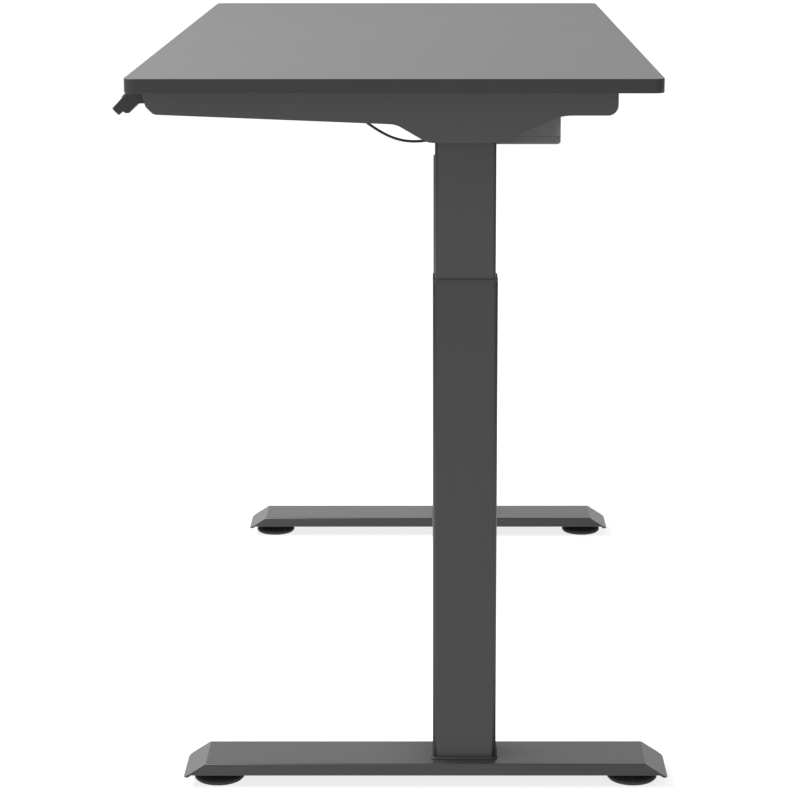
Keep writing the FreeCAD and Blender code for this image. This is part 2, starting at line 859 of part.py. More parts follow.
def make_foot(name, side):
    """A pressed channel, open below, whose sloped ends run down to a tip; glide nuts welded in."""
    body = block(
        "foot_" + name,
        "foot_width",
        "(foot_front + foot_rear)",
        TIP_Z,
        "foot_tip_drop",
        "foot_corner",
    )
    half = "(foot_front + foot_rear) / 2"
    for end in (-1, 1):
        wedge = new_sketch(body, "YZ", "0")
        outline(
            wedge,
            [
                ("%d * %s" % (end, half), TIP_Z),
                ("%d * (%s - foot_slope_run)" % (end, half), "foot_top"),
                ("%d * %s" % (end, half), "foot_top + 5"),
                ("%d * (%s + 9)" % (end, half), "foot_top"),
                ("%d * (%s + 9)" % (end, half), TIP_Z),
            ],
        )
        pocket(body, wedge, "2 * foot_width", middle=True)
    inside = new_sketch(body, "YZ", "0")
    lean = "(foot_sheet * 1.6)"
    top_end = "(%s - %s - (%s - %s) * %s)" % (half, lean, FOOT_INNER_TOP, TIP_Z, SLOPE)
    outline(
        inside,
        [
            ("-(%s - %s)" % (half, lean), TIP_Z),
            ("-" + top_end, FOOT_INNER_TOP),
            (top_end, FOOT_INNER_TOP),
            ("%s - %s" % (half, lean), TIP_Z),
            ("%s - %s" % (half, lean), TIP_Z + " - 2"),
            ("-(%s - %s)" % (half, lean), TIP_Z + " - 2"),
        ],
    )
    pocket(body, inside, "foot_width - 2 * foot_sheet", middle=True)
    trim = new_sketch(body, "YZ", "0")
    trim_end = "(%s - %s - 1)" % (half, lean)
    outline(
        trim,
        [
            ("-" + trim_end, TIP_Z + " - 2"),
            (trim_end, TIP_Z + " - 2"),
            (trim_end, TIP_Z),
            ("%s - (%s - %s) * %s" % (trim_end, FLANGE_Z, TIP_Z, SLOPE), FLANGE_Z),
            ("-(%s - (%s - %s) * %s)" % (trim_end, FLANGE_Z, TIP_Z, SLOPE), FLANGE_Z),
            ("-" + trim_end, TIP_Z),
        ],
    )
    pocket(body, trim, "2 * foot_width", middle=True)

    def long_top(middle, along):
        return abs(along.y) > 0.99 and near(middle.z, "foot_top")

    round_edges(body, long_top, "foot_sheet - 0.5")
    nuts = new_sketch(body, "XY", FOOT_INNER_TOP)
    for y in glide_places():
        circle(nuts, "0", "%s - (foot_rear - foot_front) / 2" % y, "stud_radius + 4")
    bosses = body.newObject("PartDesign::Pad", body.Name + "_nuts")
    bosses.Profile = nuts
    bosses.Reversed = True
    bind(bosses, Length="nut_height")
    doc.recompute()
    threads = new_sketch(body, "XY", FOOT_INNER_TOP)
    for y in glide_places():
        circle(threads, "0", "%s - (foot_rear - foot_front) / 2" % y, "stud_radius + screw_gap")
    pocket(body, threads, "nut_height")
    bolts = new_sketch(body, "XY", "foot_top")
    for x, y in foot_bolt_places():
        circle(bolts, x, "%s - (foot_rear - foot_front) / 2" % y, "bolt_radius")
    pocket(body, bolts, "foot_sheet")
    keep(body, leg_x(side), "column_back + (foot_rear - foot_front) / 2")


def glide_places():
    """Front and rear glide, y from the column's middle."""
    return ("glide_inset - foot_front", "foot_rear - glide_inset")


GLIDE_TOP = "(foot_top - foot_sheet - nut_height)"


def make_glides(name, side):
    """Levelling glides: a round plastic pad on a threaded stud that screws into the foot's nut."""
    for end, y in zip(("front", "rear"), glide_places()):
        label = "%s_%s" % (name, end)
        stud = rod("glide_stud_" + label, leg_x(side), "column_back + " + y, "5", "stud_radius",
                   FOOT_INNER_TOP + " - 5.5")
        keep(stud)

        body = new_body("glide_pad_" + label)
        half_view = new_sketch(body, "XZ", "0")
        hole = "(stud_radius + screw_gap)"
        outline(
            half_view,
            [
                ("0", "0"),
                ("glide_radius - 2", "0"),
                ("glide_radius", "2"),
                ("glide_radius", "glide_rim - 2.5"),
                ("glide_radius - 3.5", "glide_rim"),
                ("stud_radius + 7", "glide_rim + 2"),
                ("stud_radius + 4", "glide_rim + 5"),
                ("stud_radius + 4", GLIDE_TOP),
                (hole, GLIDE_TOP),
                (hole, "4.5"),
                ("0", "4.5"),
            ],
        )
        spun = body.newObject("PartDesign::Revolution", body.Name + "_spin")
        spun.Profile = half_view
        spun.ReferenceAxis = (half_view, ["V_Axis"])
        spun.Angle = 360
        doc.recompute()
        keep(body, leg_x(side), "column_back + " + y)


# ---------------------------------------------------------------- rails


def make_rails():
    """Two telescopic rails tie the brackets together: an outer channel from the right, an inner
    one from the left, each with a flange welded to its end."""
    for name, row in (("front", -1), ("rear", 1)):
        y = "column_back + %d * rail_offset" % row
        low_y = "(%s) - rail_width / 2" % y
        outer = fuse(
            "rail_%s_outer_solid" % name,
            slab("rail_%s_outer_bar" % name, "-rail_overlap / 2", low_y, RAIL_BOTTOM,
                 RAIL_END + " + rail_overlap / 2", "rail_width", "rail_height"),
            slab("rail_%s_outer_flange" % name, RAIL_END + " - 3",
                 "(%s) - rail_flange / 2" % y, RAIL_BOTTOM, "3", "rail_flange", "rail_height"),
        )
        bore = slab("rail_%s_outer_bore" % name, "-rail_overlap / 2 - 1",
                    low_y + " + rail_wall", RAIL_BOTTOM + " + rail_wall",
                    RAIL_END + " + rail_overlap / 2 + 2", "rail_width - 2 * rail_wall",
                    "rail_height - 2 * rail_wall")
        holes = [
            rod("rail_%s_outer_hole_%d" % (name, k), RAIL_END + " - 4",
                "(%s) + %d * %s" % (y, k, RAIL_BOLT_REACH), RAIL_TOP + " - rail_height / 2",
                "bolt_radius", "6", "x")
            for k in (-1, 1)
        ]
        keep(cut("rail_%s_outer" % name, outer, bore, *holes))

        slim = "(rail_wall + rail_gap)"
        inner = fuse(
            "rail_%s_inner_solid" % name,
            slab("rail_%s_inner_bar" % name, "-" + RAIL_END, low_y + " + " + slim,
                 RAIL_BOTTOM + " + " + slim, RAIL_END + " + rail_overlap / 2",
                 "rail_width - 2 * " + slim, "rail_height - 2 * " + slim),
            slab("rail_%s_inner_flange" % name, "-" + RAIL_END,
                 "(%s) - rail_flange / 2" % y, RAIL_BOTTOM, "3", "rail_flange", "rail_height"),
        )
        core = "(rail_wall + rail_gap + rail_wall)"
        inner_bore = slab("rail_%s_inner_bore" % name, "-" + RAIL_END + " - 1",
                          low_y + " + " + core, RAIL_BOTTOM + " + " + core,
                          RAIL_END + " + rail_overlap / 2 + 2", "rail_width - 2 * " + core,
                          "rail_height - 2 * " + core)
        inner_holes = [
            rod("rail_%s_inner_hole_%d" % (name, k), "-" + RAIL_END + " - 1",
                "(%s) + %d * %s" % (y, k, RAIL_BOLT_REACH), RAIL_TOP + " - rail_height / 2",
                "bolt_radius", "6", "x")
            for k in (-1, 1)
        ]
        keep(cut("rail_%s_inner" % name, inner, inner_bore, *inner_holes))


# ---------------------------------------------------------------- fasteners


def make_fasteners():
    wood = [
        bolt("wood_screw_%d" % k, x, y, z, "wood_screw_radius",
             "(%s) - (%s) + wood_screw_bite - 1" % (UNDERSIDE, z), "4.5", "3")
        for k, (x, y, z) in enumerate(wood_screw_places())
    ]
    keep(group("wood_screws", wood))

    head = []
    rails = []
    for name, side in SIDES.items():
        for k, (x, y) in enumerate(head_bolt_places()):
            head.append(bolt("head_bolt_%s_%d" % (name, k), "%s + (%s)" % (leg_x(side), x),
                             "column_back + (%s)" % y, BRACKET_INNER_TOP + " - head_sheet",
                             "bolt_radius", "head_sheet + bracket_sheet", "5.2", "3.3"))
        for k, (y, z) in enumerate(rail_bolt_places()):
            seat = "%d * (%s - 3)" % (side, RAIL_END)
            rails.append(bolt("rail_bolt_%s_%d" % (name, k), seat, "column_back + (%s)" % y, z,
                              "bolt_radius", "3 + bracket_sheet", "5.2", "3.3",
                              "x" if side > 0 else "-x"))
        foot = [
            bolt("foot_bolt_%s_%d" % (name, k), "%s + (%s)" % (leg_x(side), x),
                 "column_back + (%s)" % y, FOOT_INNER_TOP, "bolt_radius",
                 "foot_sheet + base_plate", "5.2", "3.3")
            for k, (x, y) in enumerate(foot_bolt_places())
        ]
        keep(group("foot_bolts_" + name, foot))
    keep(group("head_bolts", head))
    keep(group("rail_bolts", rails))


# ---------------------------------------------------------------- control box

PORT_XS = (-70, -30, 30)


def make_control_box():
    """A tub hung under the rear rail by two ears, a lid below, the board and the mains inlet."""
    middle_y = "(%s + box_width / 2)" % BOX_FRONT
    tub = block("control_box_tub", "box_length", "box_width", BOX_SEAM, "box_tub", "6")
    ears = new_sketch(tub, "XY", BOX_TOP + " - 2.5")
    box_outline(ears, "box_length + 2 * box_ear", "rail_width",
                y="rail_offset - box_side_gap - box_width / 2")
    pad(tub, ears, "2.5")
    hollow(tub, "box_length - 2 * box_wall", "box_width - 2 * box_wall", BOX_SEAM + " + box_tub",
           "box_tub", "4")
    roof = new_sketch(tub, "XY", BOX_TOP + " - 2.5")
    box_outline(roof, "box_length - 6", "box_width - 6")
    pad(tub, roof, "2.5")
    ports = new_sketch(tub, "XZ", "box_width / 2 + 2")
    for x in PORT_XS:
        box_outline(ports, "14", "9", x="%d" % x, y=BOX_SEAM + " + 9")
    pocket(tub, ports, "box_wall + 4")
    inlet_gap = new_sketch(tub, "YZ", "-box_length / 2 - 1")
    box_outline(inlet_gap, "28", "20", y=BOX_SEAM + " + 12")
    pocket(tub, inlet_gap, "box_wall + 3", up=True)
    keep(tub, "box_middle", middle_y)

    lid = block("control_box_lid", "box_length", "box_width", BOX_SEAM + " - box_lid", "box_lid",
                "6")
    low = BOX_SEAM + " - box_lid"

    def lid_foot(middle, along):
        return near(middle.z, low)

    round_edges(lid, lid_foot, "2", kind="Chamfer")
    hollow(lid, "box_length - 2 * box_wall", "box_width - 2 * box_wall", BOX_SEAM,
           "box_lid - box_wall", "4")
    posts = new_sketch(lid, "XY", low + " + box_wall")
    for i, j in CORNERS:
        circle(posts, "%d * (box_length / 2 - 30)" % i, "%d * (box_width / 2 - 14)" % j, "3")
    pad(lid, posts, "box_lid - box_wall - board_sink")
    keep(lid, "box_middle", middle_y)

    board = slab("control_board", "box_middle - box_length / 2 + 24", BOX_FRONT + " + 8",
                 BOX_SEAM + " - board_sink", "box_length - 36", "box_width - 16", "1.6")
    keep(board)

    inlet = new_body("power_inlet")
    face = new_sketch(inlet, "YZ", "-2")
    box_outline(face, "32", "24", y="0")
    pad(inlet, face, "2")
    shell = new_sketch(inlet, "YZ", "0")
    box_outline(shell, "27.6", "19.6", y="0")
    pad(inlet, shell, "18")
    recess = new_sketch(inlet, "YZ", "-2")
    box_outline(recess, "22", "14", y="0")
    pocket(inlet, recess, "15", up=True)
    pins = new_sketch(inlet, "YZ", "14")
    for y in (-6, 0, 6):
        box_outline(pins, "1.6", "3.6", x="%d" % y, y="0" if y else "1.5")
    blades = pad(inlet, pins, "10")
    blades.Reversed = True
    doc.recompute()
    keep(inlet, "box_middle - box_length / 2", middle_y, BOX_SEAM + " + 12")


# ---------------------------------------------------------------- handset

# (name, middle along the face, half length) of each key, and the window beside them.
KEYS = [("one", -13, 4.5), ("two", 0, 4.5), ("memory", 13, 4.5), ("up", 29, 6), ("down", 45, 6)]
KEY_HALF_HEIGHT = 4.2
WINDOW_X = -39
WINDOW_HALF = (14, 6)
ROW_Y = "(-handset_face / 2)"


def on_face(y, z):
    """A point of the tilted face's own y (up the face) and z (out of it), in desk y and z."""
    return (
        "-desk_depth / 2 + (%s) * cos(handset_tilt) - (%s) * sin(handset_tilt)" % (y, z),
        UNDERSIDE + " + (%s) * sin(handset_tilt) + (%s) * cos(handset_tilt)" % (y, z),
    )


def tilted(made):
    """Puts a piece made flat, with the face's top edge on its x axis, onto the tilted face."""
    place(made, "handset_middle", *on_face("0", "0"), (1, 0, 0), "handset_tilt")
    NODES.append(made)


def make_handset():
    """The control panel under the front edge: housing, face cover, window, board and keys."""
    housing = new_body("handset_housing")
    profile = new_sketch(housing, "YZ", "0")
    outline(
        profile,
        [
            ("handset_cover - desk_depth / 2", UNDERSIDE),
            on_face("0", "-handset_cover"),
            on_face("-handset_face", "-handset_cover"),
            on_face("-handset_face", "-11"),
            on_face("6.4 - handset_face", "-11.6"),
            on_face("7 - handset_face", "-15"),
            on_face("10 - handset_face", "-18"),
            on_face("25 - handset_face", "-18"),
            ("handset_back - desk_depth / 2", UNDERSIDE + " - handset_drop"),
            ("handset_back - desk_depth / 2", UNDERSIDE),
        ],
    )
    pad(housing, profile, "handset_length", middle=True)
    back = "handset_back - desk_depth / 2"

    def back_corner(middle, along):
        return upright(middle, along) and near(middle.y, back)

    round_edges(housing, back_corner, "6")
    cavity = new_sketch(housing, "YZ", "0")
    outline(
        cavity,
        [
            on_face("-4", "1"),
            on_face("-handset_face + 4", "1"),
            on_face("-handset_face + 4", "-9.5"),
            on_face("-4", "-9.5"),
        ],
    )
    pocket(housing, cavity, "handset_length - 2 * handset_wall - 2", middle=True)
    seats = new_sketch(housing, "XY", UNDERSIDE + " - handset_drop - 3")
    shanks = new_sketch(housing, "XY", UNDERSIDE)
    for side in (-1, 1):
        x = "%d * (%s)" % (side, HANDSET_SCREW_X)
        circle(seats, x, HANDSET_SCREW_Y, "5")
        circle(shanks, x, HANDSET_SCREW_Y, "wood_screw_radius + screw_room")
    pocket(housing, seats, "handset_drop + 3 - 6", up=True)
    pocket(housing, shanks, "8")
    keep(housing, "handset_middle")

    cover = new_body("handset_cover")
    plate = new_sketch(cover, "XY", "-handset_cover")
    box_outline(plate, "handset_length", "handset_face", y="-handset_face / 2")
    pad(cover, plate, "handset_cover")
    round_edges(cover, upright, "3")

    def front_rim(middle, along):
        return near(middle.z, "0")

    round_edges(cover, front_rim, "0.8")
    gaps = new_sketch(cover, "XY", "0")
    box_outline(gaps, "%g" % (2 * WINDOW_HALF[0]), "%g" % (2 * WINDOW_HALF[1]), x="%g" % WINDOW_X,
                y=ROW_Y)
    for _, x, half in KEYS:
        box_outline(gaps, "(%g + 2 * button_gap)" % (2 * half),
                    "(%g + 2 * button_gap)" % (2 * KEY_HALF_HEIGHT), x="%g" % x, y=ROW_Y)
    pocket(cover, gaps, "handset_cover")
    tilted(cover)

    window = new_body("handset_window")
    lens = new_sketch(window, "XY", "-handset_cover")
    box_outline(lens, "%g" % (2 * WINDOW_HALF[0]), "%g" % (2 * WINDOW_HALF[1]), x="%g" % WINDOW_X,
                y=ROW_Y)
    pad(window, lens, "handset_cover - 0.4")
    tilted(window)

    board = new_body("handset_board")
    sheet_of = new_sketch(board, "XY", "-9.5")
    box_outline(sheet_of, "handset_length - 12", "handset_face - 12", y=ROW_Y)
    pad(board, sheet_of, "1.6")
    tilted(board)

    for name, x, half in KEYS:
        key = new_body("key_" + name)
        cap = new_sketch(key, "XY", "-5")
        box_outline(cap, "%g" % (2 * half), "%g" % (2 * KEY_HALF_HEIGHT), x="%g" % x, y=ROW_Y)
        pad(key, cap, "5 + button_proud")
        round_edges(key, upright, "1.2")
        skirt = new_sketch(key, "XY", "-5")
        box_outline(skirt, "%g" % (2 * half + 2), "%g" % (2 * KEY_HALF_HEIGHT + 2), x="%g" % x,
                    y=ROW_Y)
        pad(key, skirt, "2")

        def crown(middle, along):
            return near(middle.z, "button_proud")

        round_edges(key, crown, "0.6")
        tilted(key)


# ---------------------------------------------------------------- cables

# Each route is a list of points chosen by hand, from one exit to the other.
HANDSET_ROUTE = [
    (438, -243, 820), (436, -221, 823), (434, -189, 827.5), (431, -147, 828), (430, -108, 826),
    (431, -69, 808), (433, -31, 775.5), (433, 3, 757.5), (426, 39, 757), (403, 65, 764),
    (378, 85, 773), (367, 103, 776.5), (365, 116, 776.5),
]
RIGHT_MOTOR_ROUTE = [
    (395.5, 68, 804.5), (372, 68.5, 804), (344, 71, 798), (322, 79, 787), (309, 95, 777.5),
    (305, 116, 776.5),
]
LEFT_MOTOR_ROUTE = [
    (-395.5, 68, 804.5), (-366, 69, 806), (-322, 74, 820), (-266, 83, 826), (-207, 87, 825),
    (-148, 86, 826.5), (-90, 89, 825.5), (-32, 88, 826.5), (26, 90, 825.5), (82, 89, 826),
    (136, 84, 824), (186, 74, 810), (224, 68, 790), (250, 79, 778), (262, 97, 775.5),
    (265, 116, 776.5),
]


def tube_along(label, points, radius):
    """A round tube along straight runs joined by tangent arcs."""
    spots = [FreeCAD.Vector(*p) for p in points]
    edges = []
    start = spots[0]
    tightest = None
    for before, here, after in zip(spots, spots[1:], spots[2:]):
        run_in = here - before
        run_out = after - here
        half_turn = run_in.getAngle(run_out) / 2
        reach = 0.45 * min(run_in.Length, run_out.Length)
        arc_radius = reach / math.tan(half_turn)
        tightest = arc_radius if tightest is None else min(tightest, arc_radius)
        first = here - run_in.normalize() * reach
        last = here + run_out.normalize() * reach
        aside = (first + last) * 0.5 - here
        to_centre = math.hypot(arc_radius, reach)
        crown = here + aside.normalize() * (to_centre - arc_radius)
        edges.append(Part.LineSegment(start, first).toShape())
        edges.append(Part.Arc(first, crown, last).toShape())
        start = last
    edges.append(Part.LineSegment(start, spots[-1]).toShape())
    path = Part.Wire(edges)
    ring = Part.Circle(spots[0], spots[1] - spots[0], radius).toShape()
    solid = path.makePipeShell([Part.Wire([ring])], True, True)
    expected = path.Length * math.pi * radius**2
    if abs(solid.Volume - expected) > 0.01 * expected:
        raise RuntimeError("%s isn't a plain tube" % label)
    print("%s: %.1f mm long, tightest radius %.1f mm" % (label, path.Length, tightest))
    made = doc.addObject("Part::Feature", label)
    made.Shape = solid
    NODES.append(made)


# Clips hold the cables up to the desktop: (x, y, height of the cable, radius, along x?)
CLIPS = [(431.5, -155, 827.9, 1.6, False), (-177, 86.5, 825.7, 2.2, True), (54, 89.5, 825.7, 2.2, True)]


def make_cables():
    handset_radius = value("handset_cable_radius")
    motor_radius = value("motor_cable_radius")
    tube_along("handset_cable", HANDSET_ROUTE, handset_radius)
    tube_along("motor_cable_right", RIGHT_MOTOR_ROUTE, motor_radius)
    tube_along("motor_cable_left", LEFT_MOTOR_ROUTE, motor_radius)
    clips = []
    for k, (x, y, z, radius, along_x) in enumerate(CLIPS):
        wall = radius + 1.8
        long_side = ("12", "%g" % (2 * wall)) if along_x else ("%g" % (2 * wall), "12")
        low = "%g" % (z - wall)
        saddle = slab("clip_saddle_%d" % k, "%g - %s / 2" % (x, long_side[0]),
                      "%g - %s / 2" % (y, long_side[1]), low, long_side[0], long_side[1],
                      "%s - %s" % (UNDERSIDE, low))
        foot = slab("clip_foot_%d" % k, "%g - 8" % x, "%g - 8" % y, UNDERSIDE + " - 1.5",
                    "16", "16", "1.5")
        room = slab("clip_room_%d" % k,
                    "%g - %s" % (x, "8" if along_x else "%g" % (radius + 0.6)),
                    "%g - %s" % (y, "%g" % (radius + 0.6) if along_x else "8"),
                    "%g" % (z - radius - 0.6),
                    "16" if along_x else "%g" % (2 * radius + 1.2),
                    "%g" % (2 * radius + 1.2) if along_x else "16",
                    "%g" % (2 * radius + 1.2))
        clips.append(cut("clip_%d" % k, fuse("clip_solid_%d" % k, saddle, foot), room))
    keep(group("cable_clips", clips))


# ---------------------------------------------------------------- assembly

make_desktop()
shoes = []
bearings = []
for side_name, side_sign in SIDES.items():
    make_foot(side_name, side_sign)
    make_glides(side_name, side_sign)
    make_outer_tube(side_name, side_sign)
    make_collar(side_name, side_sign)
    make_push_tube(side_name, side_sign)
    make_nut(side_name, side_sign)
    make_screw(side_name, side_sign)
    make_inner_tube(side_name, side_sign)
    make_head(side_name, side_sign)
    make_gearbox(side_name, side_sign)
    make_motor(side_name, side_sign)
    make_bracket(side_name, side_sign)
    shoes.append(make_shoe(side_name, side_sign))
    bearings.append(make_bearing(side_name, side_sign))
keep(group("guide_shoes", shoes))
keep(group("screw_bearings", bearings))
make_rails()
make_fasteners()
make_control_box()
make_handset()
make_cables()
doc.recompute()

for made in doc.Objects:
    if "Invalid" in made.State or "Error" in made.State:
        raise RuntimeError("%s failed: %s" % (made.Label, made.State))
for made in NODES:
    if made.Shape.isNull() or not made.Shape.isValid():
        raise RuntimeError("%s has no valid shape" % made.Label)

os.makedirs("parts", exist_ok=True)
for made in NODES:
    made.Shape.exportStep("parts/%s.step" % made.Label)
print("%d sub-parts written" % len(NODES))
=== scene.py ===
# %% [markdown]
# # A height adjustable standing desk
# The desk is a dark laminate top on two motor driven columns. Its shapes come from a imported frame,
# where every plate, tube and screw already has its size and place. This lesson gives those parts
# their finishes, makes what a sheet-metal model leaves out, such as cables, threads and key marks,
# and sets up a plain studio. Everything is in metres, and +Z is up.

# %% Load the frame
import math

import bmesh
import bpy
from mathutils import Matrix, Vector


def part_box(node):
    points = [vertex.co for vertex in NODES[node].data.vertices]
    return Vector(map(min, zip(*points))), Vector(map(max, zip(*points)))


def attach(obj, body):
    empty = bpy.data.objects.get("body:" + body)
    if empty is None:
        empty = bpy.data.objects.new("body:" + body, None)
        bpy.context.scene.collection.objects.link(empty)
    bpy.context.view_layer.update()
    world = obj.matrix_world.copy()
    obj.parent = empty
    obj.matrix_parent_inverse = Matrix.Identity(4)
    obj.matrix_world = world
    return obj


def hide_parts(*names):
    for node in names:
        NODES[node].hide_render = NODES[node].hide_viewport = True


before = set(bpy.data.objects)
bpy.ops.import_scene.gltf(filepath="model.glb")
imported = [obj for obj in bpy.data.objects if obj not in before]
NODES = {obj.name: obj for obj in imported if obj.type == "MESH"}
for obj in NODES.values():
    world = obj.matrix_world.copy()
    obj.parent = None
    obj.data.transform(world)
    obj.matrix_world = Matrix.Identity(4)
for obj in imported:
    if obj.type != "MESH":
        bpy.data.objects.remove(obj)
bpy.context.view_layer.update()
SIDES = {"left": -1, "right": 1}

# %% [markdown]
# ## A notation for shader maths
# A shader is a tree of small nodes, and long trees are hard to read as node calls. Wrapping a
# socket in a small class lets `bumps * 0.3 + 0.5` add the Math nodes by itself. Colours don't go
# through Math nodes, which would turn them grey, so they have a mixing method of their own.

# %% Shader helpers
class Wire:
    """A node's output inside a node tree, with arithmetic."""

    def __init__(self, home, socket):
        self.home = home
        self.socket = socket

    def maths(self, operation, *others):
        settings = {"operation": operation}
        return self.home.node("ShaderNodeMath", settings, dict(enumerate((self,) + others)))

    def __add__(self, other):
        return self.maths("ADD", other)

    def __mul__(self, other):
        return self.maths("MULTIPLY", other)

    def __sub__(self, other):
        return self.maths("SUBTRACT", other)

    def __rsub__(self, other):
        return self.home.node("ShaderNodeMath", {"operation": "SUBTRACT"}, {0: other, 1: self})

    __radd__ = __add__
    __rmul__ = __mul__

    def between(self, low, high):
        """0 below low, 1 above high, and a smooth step from one to the other."""
        inputs = {"Value": self, "From Min": low, "From Max": high}
        return self.home.node("ShaderNodeMapRange", {"interpolation_type": "SMOOTHSTEP"}, inputs)

    def blend(self, low_colour, high_colour):
        """One colour where the number is 0 and the other where it is 1."""
        inputs = {0: self, 6: low_colour, 7: high_colour}
        return self.home.node("ShaderNodeMix", {"data_type": "RGBA"}, inputs, output=2)

    def other(self, number):
        """Another output of the same node."""
        return Wire(self.home, self.socket.node.outputs[number])


class Tree:
    """A node tree, with one way to add any kind of node and feed its sockets."""

    def __init__(self, tree):
        self.tree = tree

    def node(self, kind, settings=None, inputs=None, output=0):
        made = self.tree.nodes.new(kind)
        for setting, choice in (settings or {}).items():
            setattr(made, setting, choice)
        for key, given in (inputs or {}).items():
            self.feed(made.inputs[key], given)
        return Wire(self, made.outputs[output])

    def feed(self, socket, given):
        if isinstance(given, Wire):
            self.tree.links.new(given.socket, socket)
        else:
            socket.default_value = given


class Finish(Tree):
    """A material in the making, with one Principled shader."""

    def __init__(self, name, **uniform):
        self.material = bpy.data.materials.new(name)
        self.material.use_nodes = True
        super().__init__(self.material.node_tree)
        self.tree.nodes.clear()
        self.shader = self.tree.nodes.new("ShaderNodeBsdfPrincipled")
        end = self.tree.nodes.new("ShaderNodeOutputMaterial")
        self.tree.links.new(self.shader.outputs[0], end.inputs["Surface"])
        for socket, amount in uniform.items():
            self.shader.inputs[socket.replace("_", " ")].default_value = amount

    def place(self, scale=(1, 1, 1)):
        """Object coordinates in metres, each axis multiplied by a scale."""
        where = self.node("ShaderNodeTexCoord", output=3)
        return self.node("ShaderNodeMapping", {}, {"Vector": where, "Scale": scale})

    def noise(self, scale, detail=2.0, roughness=0.5, stretch=(1, 1, 1)):
        inputs = {"Vector": self.place(stretch), "Scale": scale, "Detail": detail,
                  "Roughness": roughness}
        return self.node("ShaderNodeTexNoise", {}, inputs)

    def cells(self, scale):
        return self.node("ShaderNodeTexVoronoi", {}, {"Vector": self.place(), "Scale": scale})

    def bump(self, height, depth, strength=1.0, under=None):
        """Relief from a number that stands for a height of `depth` metres."""
        inputs = {"Height": height, "Distance": depth, "Strength": strength}
        if under is not None:
            inputs["Normal"] = under
        return self.node("ShaderNodeBump", {}, inputs)

    def edges(self, reach):
        """1 on outer edges, 0 on flat ground, from a bevelled normal against the true one."""
        soft = self.node("ShaderNodeBevel", {"samples": 4}, {"Radius": reach})
        flat = self.node("ShaderNodeNewGeometry", output=1)
        dot = self.node("ShaderNodeVectorMath", {"operation": "DOT_PRODUCT"}, {0: soft, 1: flat},
                        output=1)
        return (1.0 - dot).between(0.02, 0.2)

    def finish(self, colour=None, roughness=None, normal=None, metallic=None):
        for socket, given in (("Base Color", colour), ("Roughness", roughness),
                              ("Normal", normal), ("Metallic", metallic)):
            if given is not None:
                self.feed(self.shader.inputs[socket], given)
        print("finish:", self.material.name, len(self.tree.nodes), "nodes")
        return self.material


def grey(level, warmth=0.0):
    """An almost neutral colour from a linear level."""
    return (level * (1 + warmth), level, level * (1 - warmth), 1.0)


def paint(material, *names):
    """Puts one material in the slot of each named node."""
    for name in names:
        mesh = NODES[name].data
        mesh.materials.clear()
        mesh.materials.append(material)


def named(*starts):
    return sorted(name for name in NODES if name.startswith(starts))


# %% [markdown]
# ## Powder coat
# The steel is dipped in nothing: a charged powder is blown on and baked, and it melts into a skin
# with a fine sandy texture over a slower orange peel. The powder pulls thin on sharp edges, so they
# are a touch smoother, and an edge mask from a bevelled normal lowers the roughness there. The same
# mask also paints the edges lighter, a painted highlight. Two noises at two scales give the relief.
# The brackets and the inner tubes get paler copies of the coat than the feet. That is painted light,
# making up for the shade that the desktop casts on them.

# %% Powder coat
def powder_coat(name, level):
    coat = Finish(name, Specular_IOR_Level=0.45)
    sand = coat.noise(1500, 3.0, 0.65)
    peel = coat.noise(210, 1.0)
    cloud = coat.noise(7, 3.0, 0.6)
    thin_edges_and_highlight = coat.edges(0.0012)
    speck = coat.noise(2600, 0.0).between(0.62, 0.75)
    base = cloud.blend(grey(level * 0.9, -0.01), grey(level * 1.1, -0.01))
    base = (speck * 0.35).blend(base, grey(0.07))
    # Painted highlight: the edge mask paints each sharp edge lighter, on top of the smoother thin
    # coat there.
    base = (thin_edges_and_highlight * 0.4).blend(base, grey(0.085))
    relief = coat.bump(sand, 0.00006, 0.6, coat.bump(peel, 0.00018, 0.35))
    return coat.finish(base, 0.24 + sand * 0.1 - thin_edges_and_highlight * 0.06, relief)


paint(powder_coat("charcoal powder coat", 0.022),
      *named("foot_left", "foot_right", "outer_tube", "rail_front", "rail_rear"))
# Painted light: the inner tube and bracket coats are lighter copies of the same coat, making up for
# the shade that the desktop casts on them.
paint(powder_coat("inner tube coat lightened against shade", 0.030), *named("inner_tube", "leg_head"))
paint(powder_coat("bracket coat lightened against shade", 0.041), *named("side_bracket"))

# %% [markdown]
# ## The desktop
# The top is chipboard under a matt laminate, pressed against a plate with a very fine pebble. The
# plate's texture is what keeps reflections of a lamp soft and wide. A second, slower noise varies
# the gloss where hands and sleeves have rubbed it. The edge is a strip of plastic glued round the
# board, drawn through a die, so its marks run along the strip.

# %% Laminate and edge band
def laminate():
    top = Finish("charcoal laminate", Specular_IOR_Level=0.4)
    pebble = top.cells(900)
    fine = top.noise(3200, 2.0, 0.6)
    cloud = top.noise(3.2, 3.0, 0.55)
    fleck = top.noise(1400, 1.0).between(0.58, 0.7)
    base = cloud.blend(grey(0.050, -0.02), grey(0.058, -0.02))
    base = (fleck * 0.25).blend(base, grey(0.09))
    relief = top.bump(pebble, 0.00005, 0.35, top.bump(fine, 0.00003, 0.3))
    return top.finish(base, 0.46 + cloud * 0.12 + fine * 0.06, relief)


def band_plastic():
    band = Finish("edge band plastic", Specular_IOR_Level=0.45)
    drawn = band.noise(1.0, 3.0, 0.6, stretch=(12, 12, 2600))
    cloud = band.noise(30, 2.0)
    base = cloud.blend(grey(0.009), grey(0.013))
    return band.finish(base, 0.42 + drawn * 0.12, band.bump(drawn, 0.00003, 0.4))


paint(laminate(), "desktop")
paint(band_plastic(), "edge_band")

# %% [markdown]
# ## Moulded plastics
# Control box, handset, collars and clips come out of moulds whose steel was spark eroded, which
# leaves a dense matt grain. One function takes the colour and the grain's coarseness, because the
# pieces differ in nothing else.

